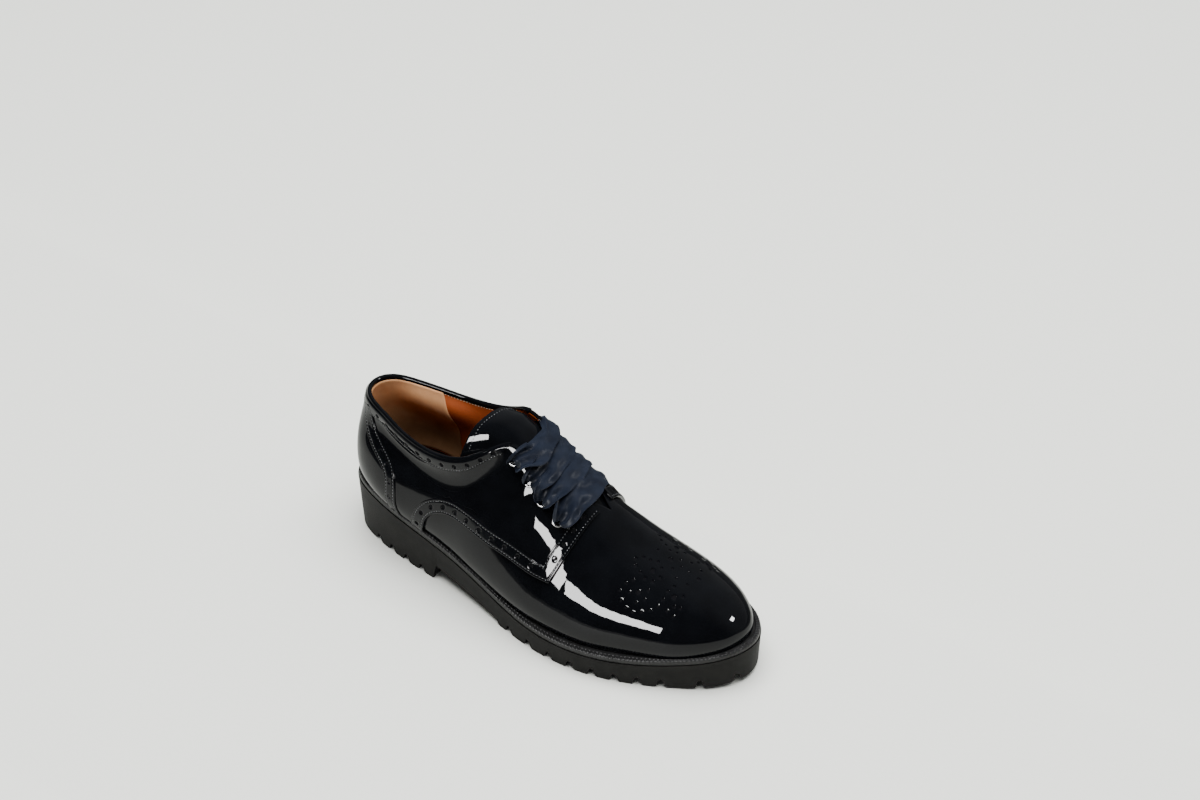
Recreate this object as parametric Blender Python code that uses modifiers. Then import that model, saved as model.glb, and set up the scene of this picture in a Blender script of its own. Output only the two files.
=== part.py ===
"""Lace-up derby shoe for the right foot, standing empty on its sole.

The toe points along +X, the inner (medial) side lies at +Y and +Z is up. Tables are in millimetres from
the back of the sole, on the ground; the frame's origin is the middle of the sole's outline, on the ground.
"""

import math

import bmesh
import bpy
import numpy as np
from mathutils import Vector

MM = 0.001

# Driving dimensions, in millimetres
CLEARANCE = 0.3
WELD = 0.02
UPPER_WALL = 1.6
QUARTER_THICK = 1.2
COUNTER_THICK = 1.5
BAND_THICK = 1.5
OVERLAY_SEAT = 0.85
OVERLAY_GAP = 0.8
WELT_HEIGHT = 3.4
WELT_BEAD = 0.5
WELT_BEAD_WIDTH = 2.6
WELT_SETBACK = 0.5
WELT_UNDER_UPPER = 2.4
WELT_SAMPLES = 80
INSOLE_HEIGHT = 5.0
INSOLE_GAP = 0.6
HEEL_BREAST = 79.0
BREAST_SLOPE = 3.0
ARCH_BACK = 12.0
ARCH_FRONT = 3.8
TREAD_START = 136.0
TREAD_SLOPE = 2.0
SPRING_START = 215.0
SPRING_END = 290.0
SOLE_TAPER = (2.2, 1.4, 0.6)
TOE_SPRING = 4.3
LUG_DEPTH = 4.5
LUG_NOTCH = 4.2
LUG_LENGTH = 11.0
LUG_TAPER = 0.6
LUG_PITCH = 13.6
HEEL_LUGS = (28.8, 76.0)
FOREFOOT_LUGS = 147.5
CUTTER_LOW = -2.0
GROOVE = 4.0
GROOVE_DEPTH = 3.6
GROOVE_TAPER = 0.7
GROOVE_SLANT = (0.25, 0.97)
GROOVE_SAMPLES = 13
FOREFOOT_RING = (17.0, 150.0, 262.0)
HEEL_RING = (14.0, 16.0, 68.0)
FOREFOOT_GROOVES = (166.0, 252.0)
HEEL_GROOVES = (31.0, 60.0)
HEEL_GROOVE_LENGTH = 22.0
# Steps in from a round end at which a plate is sliced, and the length of that end
ROUND_END = np.array([0.15, 0.8, 2.0, 4.0, 7.0, 11.0, 16.0])
ROUND_LENGTH = 23.0
TONGUE_THICK = 1.8
TONGUE_SEAT = 1.2
EYELET_BORE = 2.0
EYELET_BARREL = 2.5
EYELET_FLANGE = 4.0
EYELET_HEIGHT = 0.9
EYELET_HOLE = 2.9
EYELET_HOLE_DEPTH = 9.0
EYELET_TAIL = 0.2
EYELET_LIP = 0.7
RIBBON_SHARE = 0.82
RIBBON_THICK = 1.2
RIBBON_SEAT = 0.7
OVERLAY_FOOT = 0.035

# Sole outline: distance from the back, outer edge and inner edge
SOLE_OUTLINE = (
    ("heel back", 0.0, 0.0, 0.0),
    ("heel bend", 6.5, -17.5, 17.6),
    ("heel side", 23.0, -27.2, 29.0),
    ("heel", 55.0, -34.7, 32.2),
    ("breast", 94.0, -39.8, 30.2),
    ("waist", 134.0, -47.5, 33.4),
    ("tread", 170.0, -54.7, 44.4),
    ("ball", 200.0, -54.4, 50.2),
    ("little toe", 230.0, -46.4, 48.6),
    ("cap", 257.0, -33.6, 39.9),
    ("toe side", 278.0, -19.3, 26.5),
    ("toe tip", 289.5, 3.5, 3.5),
)

# Top of the sole's edge: distance from the back, height
SOLE_TOP = (
    (0.0, 38.5),
    (30.0, 35.5),
    (60.0, 32.0),
    (100.0, 25.5),
    (130.0, 19.0),
    (150.0, 15.8),
    (175.0, 14.2),
    (200.0, 14.0),
    (230.0, 15.5),
    (255.0, 18.6),
    (275.0, 22.3),
    (290.0, 25.8),
)

# Sections of the upper from the toe tip back to the heel. base: where the section stands on the welt.
# top: its upper edge on the outer and the inner side, one ridge up to the throat and an open edge behind it.
# lean and rise: angle from upright (degrees) and length of the wall's pull at the base.
# drop and reach: angle below level (degrees) and length of the pull at the top.
SECTION_COLUMNS = (
    "base_x", "base_outer", "base_inner",
    "outer_x", "outer_y", "outer_z",
    "inner_x", "inner_y", "inner_z",
    "lean", "rise", "drop", "reach",
)
SECTIONS = (
    ("toe tip", 284.0, 3.5, 3.5, 259.0, 2.5, 54.0, 259.0, 2.5, 54.0, 14, 13, 0, 14),
    ("toe bend", 280.0, -10.5, 15.5, 255.0, 2.5, 55.4, 255.0, 2.5, 55.4, 16, 14, 0, 16),
    ("toe side", 268.5, -23.0, 27.5, 248.0, 2.5, 57.6, 248.0, 2.5, 57.6, 17, 16, 0, 18),
    ("cap", 251.0, -33.5, 38.0, 237.0, 2.5, 60.8, 237.0, 2.5, 60.8, 18, 17, 0, 21),
    ("little toe", 228.0, -41.5, 43.5, 221.0, 2.5, 65.3, 221.0, 2.5, 65.3, 18, 19, 0, 24),
    ("ball", 203.0, -48.5, 45.0, 204.0, 2.0, 71.8, 204.0, 2.0, 71.8, 16, 21, 0, 25),
    ("throat", 180.0, -50.0, 42.0, 187.0, 2.0, 81.0, 187.0, 2.0, 81.0, 13, 22, 2, 26),
    ("facing 4", 160.0, -48.5, 36.5, 171.0, -7.0, 90.0, 170.0, 10.0, 90.5, 10, 23, 22, 25),
    ("facing 3", 143.0, -46.0, 31.5, 156.0, -9.5, 98.6, 154.0, 12.0, 99.6, 8, 24, 28, 24),
    ("facing 2", 127.0, -43.0, 28.0, 141.0, -12.0, 107.0, 136.0, 14.0, 109.0, 6, 24, 33, 22),
    ("facing 1", 111.0, -40.0, 26.5, 125.0, -14.5, 114.5, 117.0, 16.0, 116.5, 5, 24, 40, 22),
    ("collar 4", 95.0, -37.0, 26.5, 107.0, -25.0, 104.5, 101.0, 23.5, 107.0, 4, 22, 70, 18),
    ("collar 3", 78.0, -35.0, 27.5, 88.0, -28.5, 95.5, 84.0, 27.5, 98.0, 4, 22, 82, 18),
    ("collar 2", 61.0, -33.0, 28.5, 66.0, -27.5, 93.5, 64.0, 27.0, 95.0, 5, 22, 84, 18),
    ("collar 1", 43.5, -30.0, 29.0, 45.5, -23.5, 96.0, 45.5, 23.0, 97.0, 8, 23, 84, 18),
    ("heel side", 27.2, -25.0, 25.7, 30.5, -19.0, 99.0, 30.5, 18.7, 99.3, 11, 24, 82, 18),
    ("heel bend", 12.0, -16.6, 17.4, 15.6, -12.5, 101.0, 15.6, 12.5, 101.2, 13, 25, 80, 20),
    ("heel back", 4.6, 0.0, 0.0, 9.0, 0.0, 102.0, 9.0, 0.0, 102.0, 13, 26, 78, 22),
)
HEEL_BACK = len(SECTIONS) - 1
THROAT = [row[0] for row in SECTIONS].index("throat")
FACING_TOP = [row[0] for row in SECTIONS].index("facing 1")
INNER_REACH_SHARE = 0.82
LOOP_WRAP = 6
# A wall is about four times as tall as its sections are apart, which spaces points along an edge evenly
WALL_SCALE = np.array([1.0, 4.0])

# The side walls swell low down and draw in above: station and how far, and the height shares it takes
SWELL = ((4.0, 0.0), (8.0, 3.6), (14.0, 3.6), (17.0, 0.0))
SWELL_TOP = 0.75
HOLLOW = ((5.5, 0.0), (7.4, -3.0), (9.0, 0.0), (10.5, 4.5), (14.5, 4.5), (17.0, 0.0))
HOLLOW_SHARES = (0.38, 1.04)

# Lower edge of a quarter in side view, from where it leaves the welt to its front corner
QUARTER_HEEL_END = 73.5
QUARTER_EDGE = (
    (74.3, 41.0),
    (76.0, 47.0),
    (81.0, 53.4),
    (90.0, 57.8),
    (102.0, 58.9),
    (119.0, 57.0),
    (135.0, 54.3),
    (152.0, 51.8),
    (173.3, 49.2),
)
QUARTER_FRONT_TOP = 0.93
QUARTER_FRONT_STATION = 6.22
QUARTER_FRONT_SWEEP = 0.08
QUARTER_FRONT_FADE = 0.8
QUARTER_COLUMNS = 28
QUARTER_FOOT_SHARE = 3 / QUARTER_COLUMNS

# Front edge of the counter in side view, from the welt to the collar
COUNTER_FOOT = 56.0
COUNTER_EDGE = (
    (52.8, 45.0),
    (51.0, 59.3),
    (46.0, 71.4),
    (35.4, 78.2),
    (26.5, 84.3),
    (21.5, 93.0),
)
COUNTER_TOP = 20.0

# Collar band: share of the wall's height that it covers, and where it runs out at the facing
BAND_SHARE = 0.17
BAND_GAP = 0.02
BAND_TAPER = 0.6
BAND_END = 0.15

# Top and bottom eyelet in side view on the outer side: distance from the back, height
EYELET_COUNT = 4
EYELET_TOP = (130.0, 106.4)
EYELET_BOTTOM = (165.8, 80.5)

# Tongue: how far its wings reach below the facings, and the top edge inside the collar
TONGUE_FRONT = 5.6
TONGUE_WING = 0.74
TONGUE_TOP = (
    (94.0, -21.0, 99.5),
    (96.0, -10.0, 109.5),
    (98.0, 2.0, 115.0),
    (100.0, 12.0, 114.0),
    (102.0, 17.5, 108.5),
)
TONGUE_BODY = 0.72
TONGUE_BODY_END = 9.8

# A sheet across the throat: its points from outer to inner side, and its lift over the straight line
ARCH_KNOTS = (-1.0, -0.45, 0.0, 0.45, 1.0)
ARCH_CROWN = 0.13
ARCH_SHOULDER = 0.7

COLOURS = {
    "leather": ((0.008, 0.009, 0.014), 0.12, 0.0),
    "rubber": ((0.018, 0.015, 0.014), 0.6, 0.0),
    "welt": ((0.015, 0.013, 0.013), 0.5, 0.0),
    "lining": ((0.45, 0.18, 0.06), 0.55, 0.0),
    "ribbon": ((0.012, 0.015, 0.03), 0.35, 0.0),
    "metal": ((0.09, 0.09, 0.1), 0.3, 1.0),
}


def natural_spline(knots, values):
    """The natural cubic spline through the rows of values at the knots, as a function of t."""
    knots = np.asarray(knots, float)
    values = np.asarray(values, float)
    step = np.diff(knots)
    count = len(knots)
    system = np.eye(count)
    right = np.zeros_like(values)
    for i in range(1, count - 1):
        system[i, i - 1 : i + 2] = step[i - 1], 2 * (step[i - 1] + step[i]), step[i]
        after = (values[i + 1] - values[i]) / step[i]
        before = (values[i] - values[i - 1]) / step[i - 1]
        right[i] = 6 * (after - before)
    bend = np.linalg.solve(system, right)

    def at(t):
        t = np.asarray(t, float)
        i = np.clip(np.searchsorted(knots, t, side="right") - 1, 0, count - 2)
        width = step[i][..., None]
        a = (knots[i + 1] - t)[..., None] / width
        b = 1 - a
        curve = ((a**3 - a) * bend[i] + (b**3 - b) * bend[i + 1]) * width**2 / 6
        return a * values[i] + b * values[i + 1] + curve

    return at


def run_along(points):
    """Distance along a line of points."""
    return np.concatenate([[0], np.cumsum(np.linalg.norm(np.diff(points, axis=0), axis=1))])


def polyline_spline(points):
    """A spline through points, as a function of the share of its length from 0 to 1."""
    points = np.asarray(points, float)
    length = run_along(points)
    return natural_spline(length / length[-1], points)


def column_spline(rows):
    """A function of the first column, through the second."""
    curve = natural_spline([row[0] for row in rows], [[row[1]] for row in rows])
    return lambda x: curve(x)[..., 0]


def ease(t):
    """From 0 to 1 with no corner in slope or bend at either end."""
    t = np.clip(t, 0.0, 1.0)
    return t**3 * (10 - 15 * t + 6 * t**2)


def eased(x, rows):
    """Values of a table at x, flat at each of its rows."""
    knots, values = np.array(rows).T
    i = np.clip(np.searchsorted(knots, x, side="right") - 1, 0, len(knots) - 2)
    share = ease((x - knots[i]) / (knots[i + 1] - knots[i]))
    return values[i] + (values[i + 1] - values[i]) * share


sole_top = column_spline(SOLE_TOP)


def sole_outline(samples=720):
    """The closed outline from the heel back along the outer side, round the toe and back."""
    outer = [(row[1], row[2]) for row in SOLE_OUTLINE]
    inner = [(row[1], row[3]) for row in SOLE_OUTLINE[-2:0:-1]]
    ring = np.array(outer + inner)
    count = len(ring)
    order = np.arange(-LOOP_WRAP, count + LOOP_WRAP + 1) % count
    wrapped = ring[order]
    length = run_along(wrapped)
    curve = natural_spline(length, wrapped)
    first, last = length[LOOP_WRAP], length[LOOP_WRAP + count]
    return curve(np.linspace(first, last, samples, endpoint=False))


def inward(points):
    """Unit vectors in plan that point to the inside of a closed outline."""
    along = np.roll(points, -1, axis=0) - np.roll(points, 1, axis=0)
    normal = np.stack([-along[:, 1], along[:, 0]], axis=1)
    return normal / np.linalg.norm(normal, axis=1)[:, None]


def inset(points, distance):
    distance = np.broadcast_to(distance, len(points))
    return points + inward(points) * distance[:, None]


def edges_at(points, x):
    """Outer and inner edge of a closed outline at each distance x from the back."""
    toe = int(np.argmax(points[:, 0]))
    heel = int(np.argmin(points[:, 0]))
    ring = np.roll(points, -heel, axis=0)
    toe = (toe - heel) % len(points)
    outer = ring[: toe + 1]
    inner = np.concatenate([ring[:1], ring[:toe - 1:-1]])
    return np.interp(x, outer[:, 0], outer[:, 1]), np.interp(x, inner[:, 0], inner[:, 1])


OUTLINE = sole_outline()
ORIGIN = np.array([*(OUTLINE.min(axis=0) + OUTLINE.max(axis=0)) / 2, 0.0])


def section_loop():
    """The sections as a spline round the shoe: outer side below 0, toe tip 0, inner side above 0."""
    column = {name: i + 1 for i, name in enumerate(SECTION_COLUMNS)}
    sides = {}
    for side, share in (("outer", 1.0), ("inner", INNER_REACH_SHARE)):
        names = ["base_x", f"base_{side}"] + [f"{side}_{axis}" for axis in "xyz"] + ["lean", "rise", "drop"]
        rows = [[row[column[name]] for name in names] for row in SECTIONS]
        reach = [row[column["reach"]] * share for row in SECTIONS]
        sides[side] = np.column_stack([rows, reach])
    period = 2 * HEEL_BACK
    knots = np.arange(-HEEL_BACK - LOOP_WRAP, HEEL_BACK + LOOP_WRAP + 1)
    values = []
    for knot in knots:
        place = (knot + HEEL_BACK) % period - HEEL_BACK
        values.append(sides["outer" if place < 0 else "inner"][abs(place)])
    return natural_spline(knots, values)


section_at = section_loop()


def top_edge(s):
    """The upper's top line at station s: one shared ridge up to the throat, then each side's own edge."""
    own = section_at(s)[..., 2:5]
    other = section_at(-np.asarray(s, float))[..., 2:5]
    ridge = (np.abs(s) <= THROAT)[..., None]
    return np.where(ridge, (own + other) / 2, own)


def swell(s, v):
    """How far the wall stands out of its plain section: out low down, in above."""
    low = np.clip(v / SWELL_TOP, 0, 1)
    high = np.clip((v - HOLLOW_SHARES[0]) / (HOLLOW_SHARES[1] - HOLLOW_SHARES[0]), 0, 1)
    out = 256 / 27 * low * (1 - low) ** 3
    into = 64 * high**3 * (1 - high) ** 3
    return out * eased(np.abs(s), SWELL) - into * eased(np.abs(s), HOLLOW)


def wall(s, v):
    """Point of the upper's outer face at station s, from the welt (v = 0) to the top line (v = 1)."""
    s, v = np.broadcast_arrays(np.asarray(s, float), np.asarray(v, float))
    columns = section_at(s)
    lean, drop = np.radians(columns[..., 5]), np.radians(columns[..., 7])
    rise, reach = columns[..., 6], columns[..., 8]
    base = np.concatenate([columns[..., :2], np.zeros(s.shape + (1,))], axis=-1)
    base[..., 2] = sole_top(base[..., 0]) + 2 * CLEARANCE + WELT_HEIGHT
    top = top_edge(s)
    out = base[..., :2] - top[..., :2]
    out = out / np.linalg.norm(out, axis=-1)[..., None]
    near = np.maximum(np.abs(s), 0.1)
    side = np.where(s < 0, -1.0, 1.0)
    ahead, behind = top_edge(side * (near - 0.05)), top_edge(side * (near + 0.05))
    slope = (ahead[..., 2] - behind[..., 2]) / (ahead[..., 0] - behind[..., 0])
    slope = slope * np.clip(THROAT + 1 - np.abs(s), 0, 1)
    low = np.stack([out[..., 0] * np.sin(lean), out[..., 1] * np.sin(lean), np.cos(lean)], axis=-1)
    fall = out[..., 0] * slope * np.cos(drop) - np.sin(drop)
    high = np.stack([out[..., 0] * np.cos(drop), out[..., 1] * np.cos(drop), fall], axis=-1)
    first = base + low * rise[..., None]
    second = top + high * reach[..., None]
    w = v[..., None]
    face = (1 - w) ** 3 * base + 3 * (1 - w) ** 2 * w * first + 3 * (1 - w) * w**2 * second + w**3 * top
    face[..., :2] += out * swell(s, v)[..., None]
    return face


def wall_normal(s, v):
    s = np.asarray(s, float)
    v = np.minimum(np.asarray(v, float), 0.99)
    step = 0.004
    along = wall(s + step, v) - wall(s - step, v)
    up = wall(s, v + step) - wall(s, v - step)
    normal = np.cross(along, up)
    return normal / np.linalg.norm(normal, axis=-1)[..., None]


def skin(s, v, offset):
    """Point at a distance outside the upper's outer face."""
    return wall(s, v) + wall_normal(s, v) * np.asarray(offset, float)[..., None]


def locate(x, z, side):
    """Station and height share of the wall where its side view passes (x, z); side is -1 outer, 1 inner."""
    stations = np.linspace(THROAT - 1, HEEL_BACK, 241)
    middle = wall(side * stations, np.full_like(stations, 0.5))[..., 0]
    s = float(stations[np.argmin(np.abs(middle - x))])
    v = 0.5
    step = 0.002
    for _ in range(12):
        here = wall(side * s, v)[[0, 2]]
        by_s = (wall(side * (s + step), v)[[0, 2]] - here) / step
        by_v = (wall(side * s, v + step)[[0, 2]] - here) / step
        change = np.linalg.solve(np.column_stack([by_s, by_v]), np.array([x, z]) - here)
        s = float(np.clip(s + np.clip(change[0], -1, 1), THROAT - 1, HEEL_BACK))
        v = float(np.clip(v + np.clip(change[1], -0.3, 0.3), 0.0, 1.0))
    return s, v


def base_station(x):
    """Station whose section stands on the welt at distance x from the back."""
    stations = np.linspace(THROAT, HEEL_BACK, 801)
    return float(np.interp(-x, -section_at(-stations)[:, 0], stations))


def top_station(x):
    """Station whose section ends at the collar at distance x from the back."""
    stations = np.linspace(THROAT, HEEL_BACK, 801)
    return float(np.interp(-x, -top_edge(-stations)[:, 0], stations))


def grid(bm, columns, rows, place):
    """Adds a grid to bm whose corner (u, v), each from 0 to 1, lies at place(u, v) in millimetres."""
    made = bmesh.ops.create_grid(bm, x_segments=columns, y_segments=rows, size=1.0)["verts"]
    uv = np.array([vert.co[:2] for vert in made], float) / 2 + 0.5
    points = (place(uv[:, 0], uv[:, 1]) - ORIGIN) * MM
    for vert, point in zip(made, points):
        vert.co = point


def weld(bm):
    bmesh.ops.remove_doubles(bm, verts=bm.verts[:], dist=WELD * MM)


def close_between(bm):
    """Joins two open grids of the same shape into one closed solid."""
    rims = [edge for edge in bm.edges if edge.is_boundary]
    bmesh.ops.bridge_loops(bm, edges=rims)
    bmesh.ops.recalc_face_normals(bm, faces=bm.faces[:])


def face_up(bm):
    """Turns an open sheet so that its faces point upwards."""
    bm.normal_update()
    if sum(face.normal.z * face.calc_area() for face in bm.faces) < 0:
        bmesh.ops.reverse_faces(bm, faces=bm.faces[:])


def make_material(name, finish):
    colour, roughness, metallic = COLOURS[finish]
    material = bpy.data.materials.new(name)
    material.use_nodes = True
    shader = material.node_tree.nodes["Principled BSDF"]
    shader.inputs["Base Color"].default_value = (*colour, 1.0)
    shader.inputs["Roughness"].default_value = roughness
    shader.inputs["Metallic"].default_value = metallic
    material.diffuse_color = (*colour, 1.0)
    return material


def make_object(name, bm, finish, collection):
    mesh = bpy.data.meshes.new(name)
    bm.to_mesh(mesh)
    bm.free()
    mesh.shade_smooth()
    mesh.set_sharp_from_angle(angle=math.radians(40))
    mesh.materials.append(make_material(f"{name}_{finish}", finish))
    obj = bpy.data.objects.new(name, mesh)
    collection.objects.link(obj)
    return obj


def make_cutter(name, bm, collection):
    bmesh.ops.recalc_face_normals(bm, faces=bm.faces[:])
    obj = make_object(name, bm, "metal", collection)
    obj.hide_render = True
    obj.display_type = "WIRE"
    return obj


def cut(obj, cutter):
    boolean = obj.modifiers.new(cutter.name, "BOOLEAN")
    boolean.operation = "DIFFERENCE"
    boolean.solver = "EXACT"
    boolean.object = cutter


def thicken(obj, thickness, offset):
    """Solidify: offset -1 grows the sheet inwards, 1 outwards and 0 both ways."""
    shell = obj.modifiers.new("wall", "SOLIDIFY")
    shell.thickness = thickness * MM
    shell.offset = offset
    shell.use_even_offset = True


def sole_bottom(x):
    """Height of the sole's underside: heel, breast, arch, tread and toe spring."""
    breast = np.clip((x - HEEL_BREAST) / BREAST_SLOPE, 0, 1) * ARCH_BACK
    arch = np.interp(x, [HEEL_BREAST, TREAD_START], [0.0, ARCH_FRONT - ARCH_BACK])
    tread = np.clip((x - TREAD_START) / TREAD_SLOPE, 0, 1) * -ARCH_FRONT
    spring = TOE_SPRING * np.clip((x - SPRING_START) / (SPRING_END - SPRING_START), 0, 1) ** 2
    return breast + arch + tread + spring


def slices(low, high, breaks):
    """Distances from the back, close together at the round ends, with the breaks among them."""
    middle = np.linspace(low + ROUND_LENGTH, high - ROUND_LENGTH, 20)
    x = np.concatenate([low + ROUND_END, middle, high - ROUND_END, breaks])
    return np.unique(np.round(x, 3))


def plate(bm, outline, low_outline, x, top, bottom, across):
    """A closed plate between an upper and a lower outline, with heights top(x) and bottom(x)."""

    def layer(shape, height):
        reach = shape[:, 0].min() + ROUND_END[0], shape[:, 0].max() - ROUND_END[0]

        def place(u, v):
            along = np.clip(x[np.round(u * (len(x) - 1)).astype(int)], *reach)
            outer, inner = edges_at(shape, along)
            return np.stack([along, outer + (inner - outer) * v, height(along)], axis=1)

        return place

    grid(bm, len(x) - 1, across, layer(outline, top))
    grid(bm, len(x) - 1, across, layer(low_outline, bottom))
    close_between(bm)


def box(bm, centre, along, length, width, height, taper=1.0):
    """A block on the plan direction along, its top narrowed by taper, from height[0] to height[1]."""
    across = np.array([-along[1], along[0]])
    made = bmesh.ops.create_cube(bm, size=1.0)["verts"]
    for vert in made:
        narrow = taper if vert.co.z > 0 else 1.0
        plan = centre + along * vert.co.x * length + across * vert.co.y * width * narrow
        z = height[1] if vert.co.z > 0 else height[0]
        vert.co = (np.array([*plan, z]) - ORIGIN) * MM


def ring_groove(bm, outline, x_from, x_to):
    """A groove that follows the outline between two distances from the back."""
    x = np.linspace(x_from, x_to, GROOVE_SAMPLES)
    outer, inner = edges_at(outline, x)
    path = np.concatenate([np.stack([x, outer], axis=1), np.stack([x, inner], axis=1)[::-1]])
    half = inward(path) * GROOVE / 2
    lift = sole_bottom(path[:, 0])
    corners = (
        (path - half, CUTTER_LOW), (path - half, GROOVE_DEPTH),
        (path + half, GROOVE_DEPTH), (path + half, CUTTER_LOW),
    )
    points = np.array([np.column_stack([plan, lift + height]) for plan, height in corners])
    count, sides = len(path), len(corners)

    def place(u, v):
        i = np.round(u * count).astype(int) % count
        j = np.round(v * sides).astype(int) % sides
        return points[j, i]

    grid(bm, count, sides, place)
    weld(bm)


def lug_places():
    """Where the outline is notched between lugs: along both sides of the heel, and round the forefoot."""
    toe = int(np.argmax(OUTLINE[:, 0]))
    sides = np.arange(toe), np.arange(toe, len(OUTLINE))
    places = [side[np.argmin(np.abs(OUTLINE[side, 0] - x))]
              for side in sides for x in np.arange(*HEEL_LUGS, LUG_PITCH)]
    first, last = (side[np.argmin(np.abs(OUTLINE[side, 0] - FOREFOOT_LUGS))] for side in sides)
    run = run_along(OUTLINE[first:last])
    even = np.linspace(0, run[-1], round(run[-1] / LUG_PITCH) + 1)
    return places + [first + int(i) for i in np.searchsorted(run, even)]


def make_outsole(parts, cutters):
    taper = np.interp(OUTLINE[:, 0], [0, HEEL_BREAST, TREAD_START], SOLE_TAPER)
    low_outline = inset(OUTLINE, taper)
    breaks = [HEEL_BREAST, HEEL_BREAST + BREAST_SLOPE, TREAD_START, TREAD_START + TREAD_SLOPE]
    bm = bmesh.new()
    x = slices(OUTLINE[:, 0].min(), OUTLINE[:, 0].max(), breaks)
    plate(bm, OUTLINE, low_outline, x, sole_top, sole_bottom, 6)
    outsole = make_object("outsole", bm, "rubber", parts)

    bm = bmesh.new()
    normal = inward(OUTLINE)
    for near in lug_places():
        centre = OUTLINE[near] + normal[near] * LUG_LENGTH / 4
        height = (CUTTER_LOW, float(sole_bottom(centre[0])) + LUG_DEPTH)
        box(bm, centre, normal[near], LUG_LENGTH * 1.5, LUG_NOTCH, height, LUG_TAPER)
    cut(outsole, make_cutter("lug_notches", bm, cutters))

    bm = bmesh.new()
    for ring in (FOREFOOT_RING, HEEL_RING):
        ring_groove(bm, inset(OUTLINE, ring[0]), ring[1], ring[2])
    island = inset(OUTLINE, FOREFOOT_RING[0] + GROOVE)
    for x in np.arange(*FOREFOOT_GROOVES, LUG_PITCH):
        outer, inner = edges_at(island, x)
        centre = np.array([x, (outer + inner) / 2])
        height = (CUTTER_LOW, float(sole_bottom(x)) + GROOVE_DEPTH)
        box(bm, centre, np.array(GROOVE_SLANT), inner - outer, GROOVE, height, GROOVE_TAPER)
    for x in np.arange(*HEEL_GROOVES, LUG_PITCH):
        centre = np.array([x, 0.0])
        height = (CUTTER_LOW, GROOVE_DEPTH)
        box(bm, centre, np.array([0.0, 1.0]), HEEL_GROOVE_LENGTH, GROOVE, height, GROOVE_TAPER)
    cut(outsole, make_cutter("tread_grooves", bm, cutters))


def make_welt(parts):
    """A closed ring on the sole's edge, with a raised bead along its rim. Returns its inner line."""
    count = WELT_SAMPLES
    pick = np.linspace(0, len(OUTLINE), count, endpoint=False).astype(int)
    edge = inset(OUTLINE, WELT_SETBACK)[pick]
    stations = np.linspace(-HEEL_BACK, HEEL_BACK, 800)
    feather = section_at(stations)[:, :2]
    gap = np.linalg.norm(edge[:, None] - feather[None], axis=2).min(axis=1)
    width = gap + WELT_UNDER_UPPER
    normal = inward(OUTLINE)[pick]
    flat, bead = WELT_HEIGHT, WELT_HEIGHT + WELT_BEAD
    profile = (
        (0.0, 0.0), (0.0, bead - 0.8), (0.7, bead), (WELT_BEAD_WIDTH, bead),
        (WELT_BEAD_WIDTH + 0.6, flat), (None, flat), (None, 0.0),
    )

    def place(u, v):
        i = np.round(u * count).astype(int) % count
        j = np.round(v * len(profile)).astype(int) % len(profile)
        points = []
        for a, b in zip(i, j):
            depth, height = profile[b]
            plan = edge[a] + normal[a] * (width[a] if depth is None else min(depth, gap[a] - 0.4))
            points.append([*plan, sole_top(plan[0]) + CLEARANCE + height])
        return np.array(points)

    bm = bmesh.new()
    grid(bm, count, len(profile), place)
    weld(bm)
    bmesh.ops.recalc_face_normals(bm, faces=bm.faces[:])
    make_object("welt", bm, "welt", parts)
    return edge + normal * width[:, None]


def make_insole(parts, welt_inner):
    outline = inset(welt_inner, INSOLE_GAP)
    x = slices(outline[:, 0].min(), outline[:, 0].max(), [])
    bm = bmesh.new()
    plate(
        bm, outline, outline, x,
        lambda x: sole_top(x) + CLEARANCE + INSOLE_HEIGHT,
        lambda x: sole_top(x) + CLEARANCE,
        2,
    )
    make_object("insole", bm, "lining", parts)


def make_upper(parts):
    """Both walls as grids on the sections, welded along ridge, toe and heel, then given their thickness."""
    fine = (0, 1, *range(THROAT, FACING_TOP + 2), HEEL_BACK - 2, HEEL_BACK - 1)
    steps = [np.linspace(k, k + 1, 3 if k in fine else 2, endpoint=False) for k in range(HEEL_BACK)]
    stations = np.append(np.concatenate(steps), HEEL_BACK)
    count = len(stations) - 1
    bm = bmesh.new()
    for side in (-1, 1):
        grid(bm, count, 12, lambda u, v: wall(side * stations[np.round(u * count).astype(int)], v))
    weld(bm)
    bmesh.ops.recalc_face_normals(bm, faces=bm.faces[:])
    upper = make_object("upper", bm, "leather", parts)
    thicken(upper, UPPER_WALL, -1)
    return upper


def counter_edge(gap):
    """Station and height share along the counter's front edge, moved forward by gap."""
    points = [(base_station(COUNTER_FOOT + gap), 0.0)]
    points += [locate(x + gap, z, -1) for x, z in COUNTER_EDGE]
    points.append((top_station(COUNTER_TOP + gap), 1.0))
    return polyline_spline(np.array(points) * WALL_SCALE)


def band_low(s):
    """Height share of the collar band's lower edge."""
    taper = np.clip((np.abs(s) - FACING_TOP) / BAND_TAPER, 0, 1)
    return 1 - BAND_SHARE * taper


def make_overlay(name, columns, rows, place, thickness, parts):
    """A panel between two faces of the upper's own form: place gives station and height share."""
    bm = bmesh.new()
    for offset in (OVERLAY_SEAT, OVERLAY_SEAT + thickness):
        grid(bm, columns, rows, lambda u, v: skin(*place(u, v), np.full_like(u, offset)))
    close_between(bm)
    return make_object(name, bm, "leather", parts)


def make_counter(parts):
    edge = counter_edge(0.0)

    def place(u, v):
        at = edge(v)
        share = at[..., 1] / WALL_SCALE[1]
        ceiling = 1 - BAND_SHARE - BAND_GAP
        share = OVERLAY_FOOT + np.clip(share, 0, 1) * (ceiling - OVERLAY_FOOT)
        around = (u * 2 - 1) * (HEEL_BACK - at[..., 0])
        station = np.where(around < 0, -1.0, 1.0) * (HEEL_BACK - np.abs(around))
        return station, share

    make_overlay("counter", 18, 8, place, COUNTER_THICK, parts)


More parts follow.
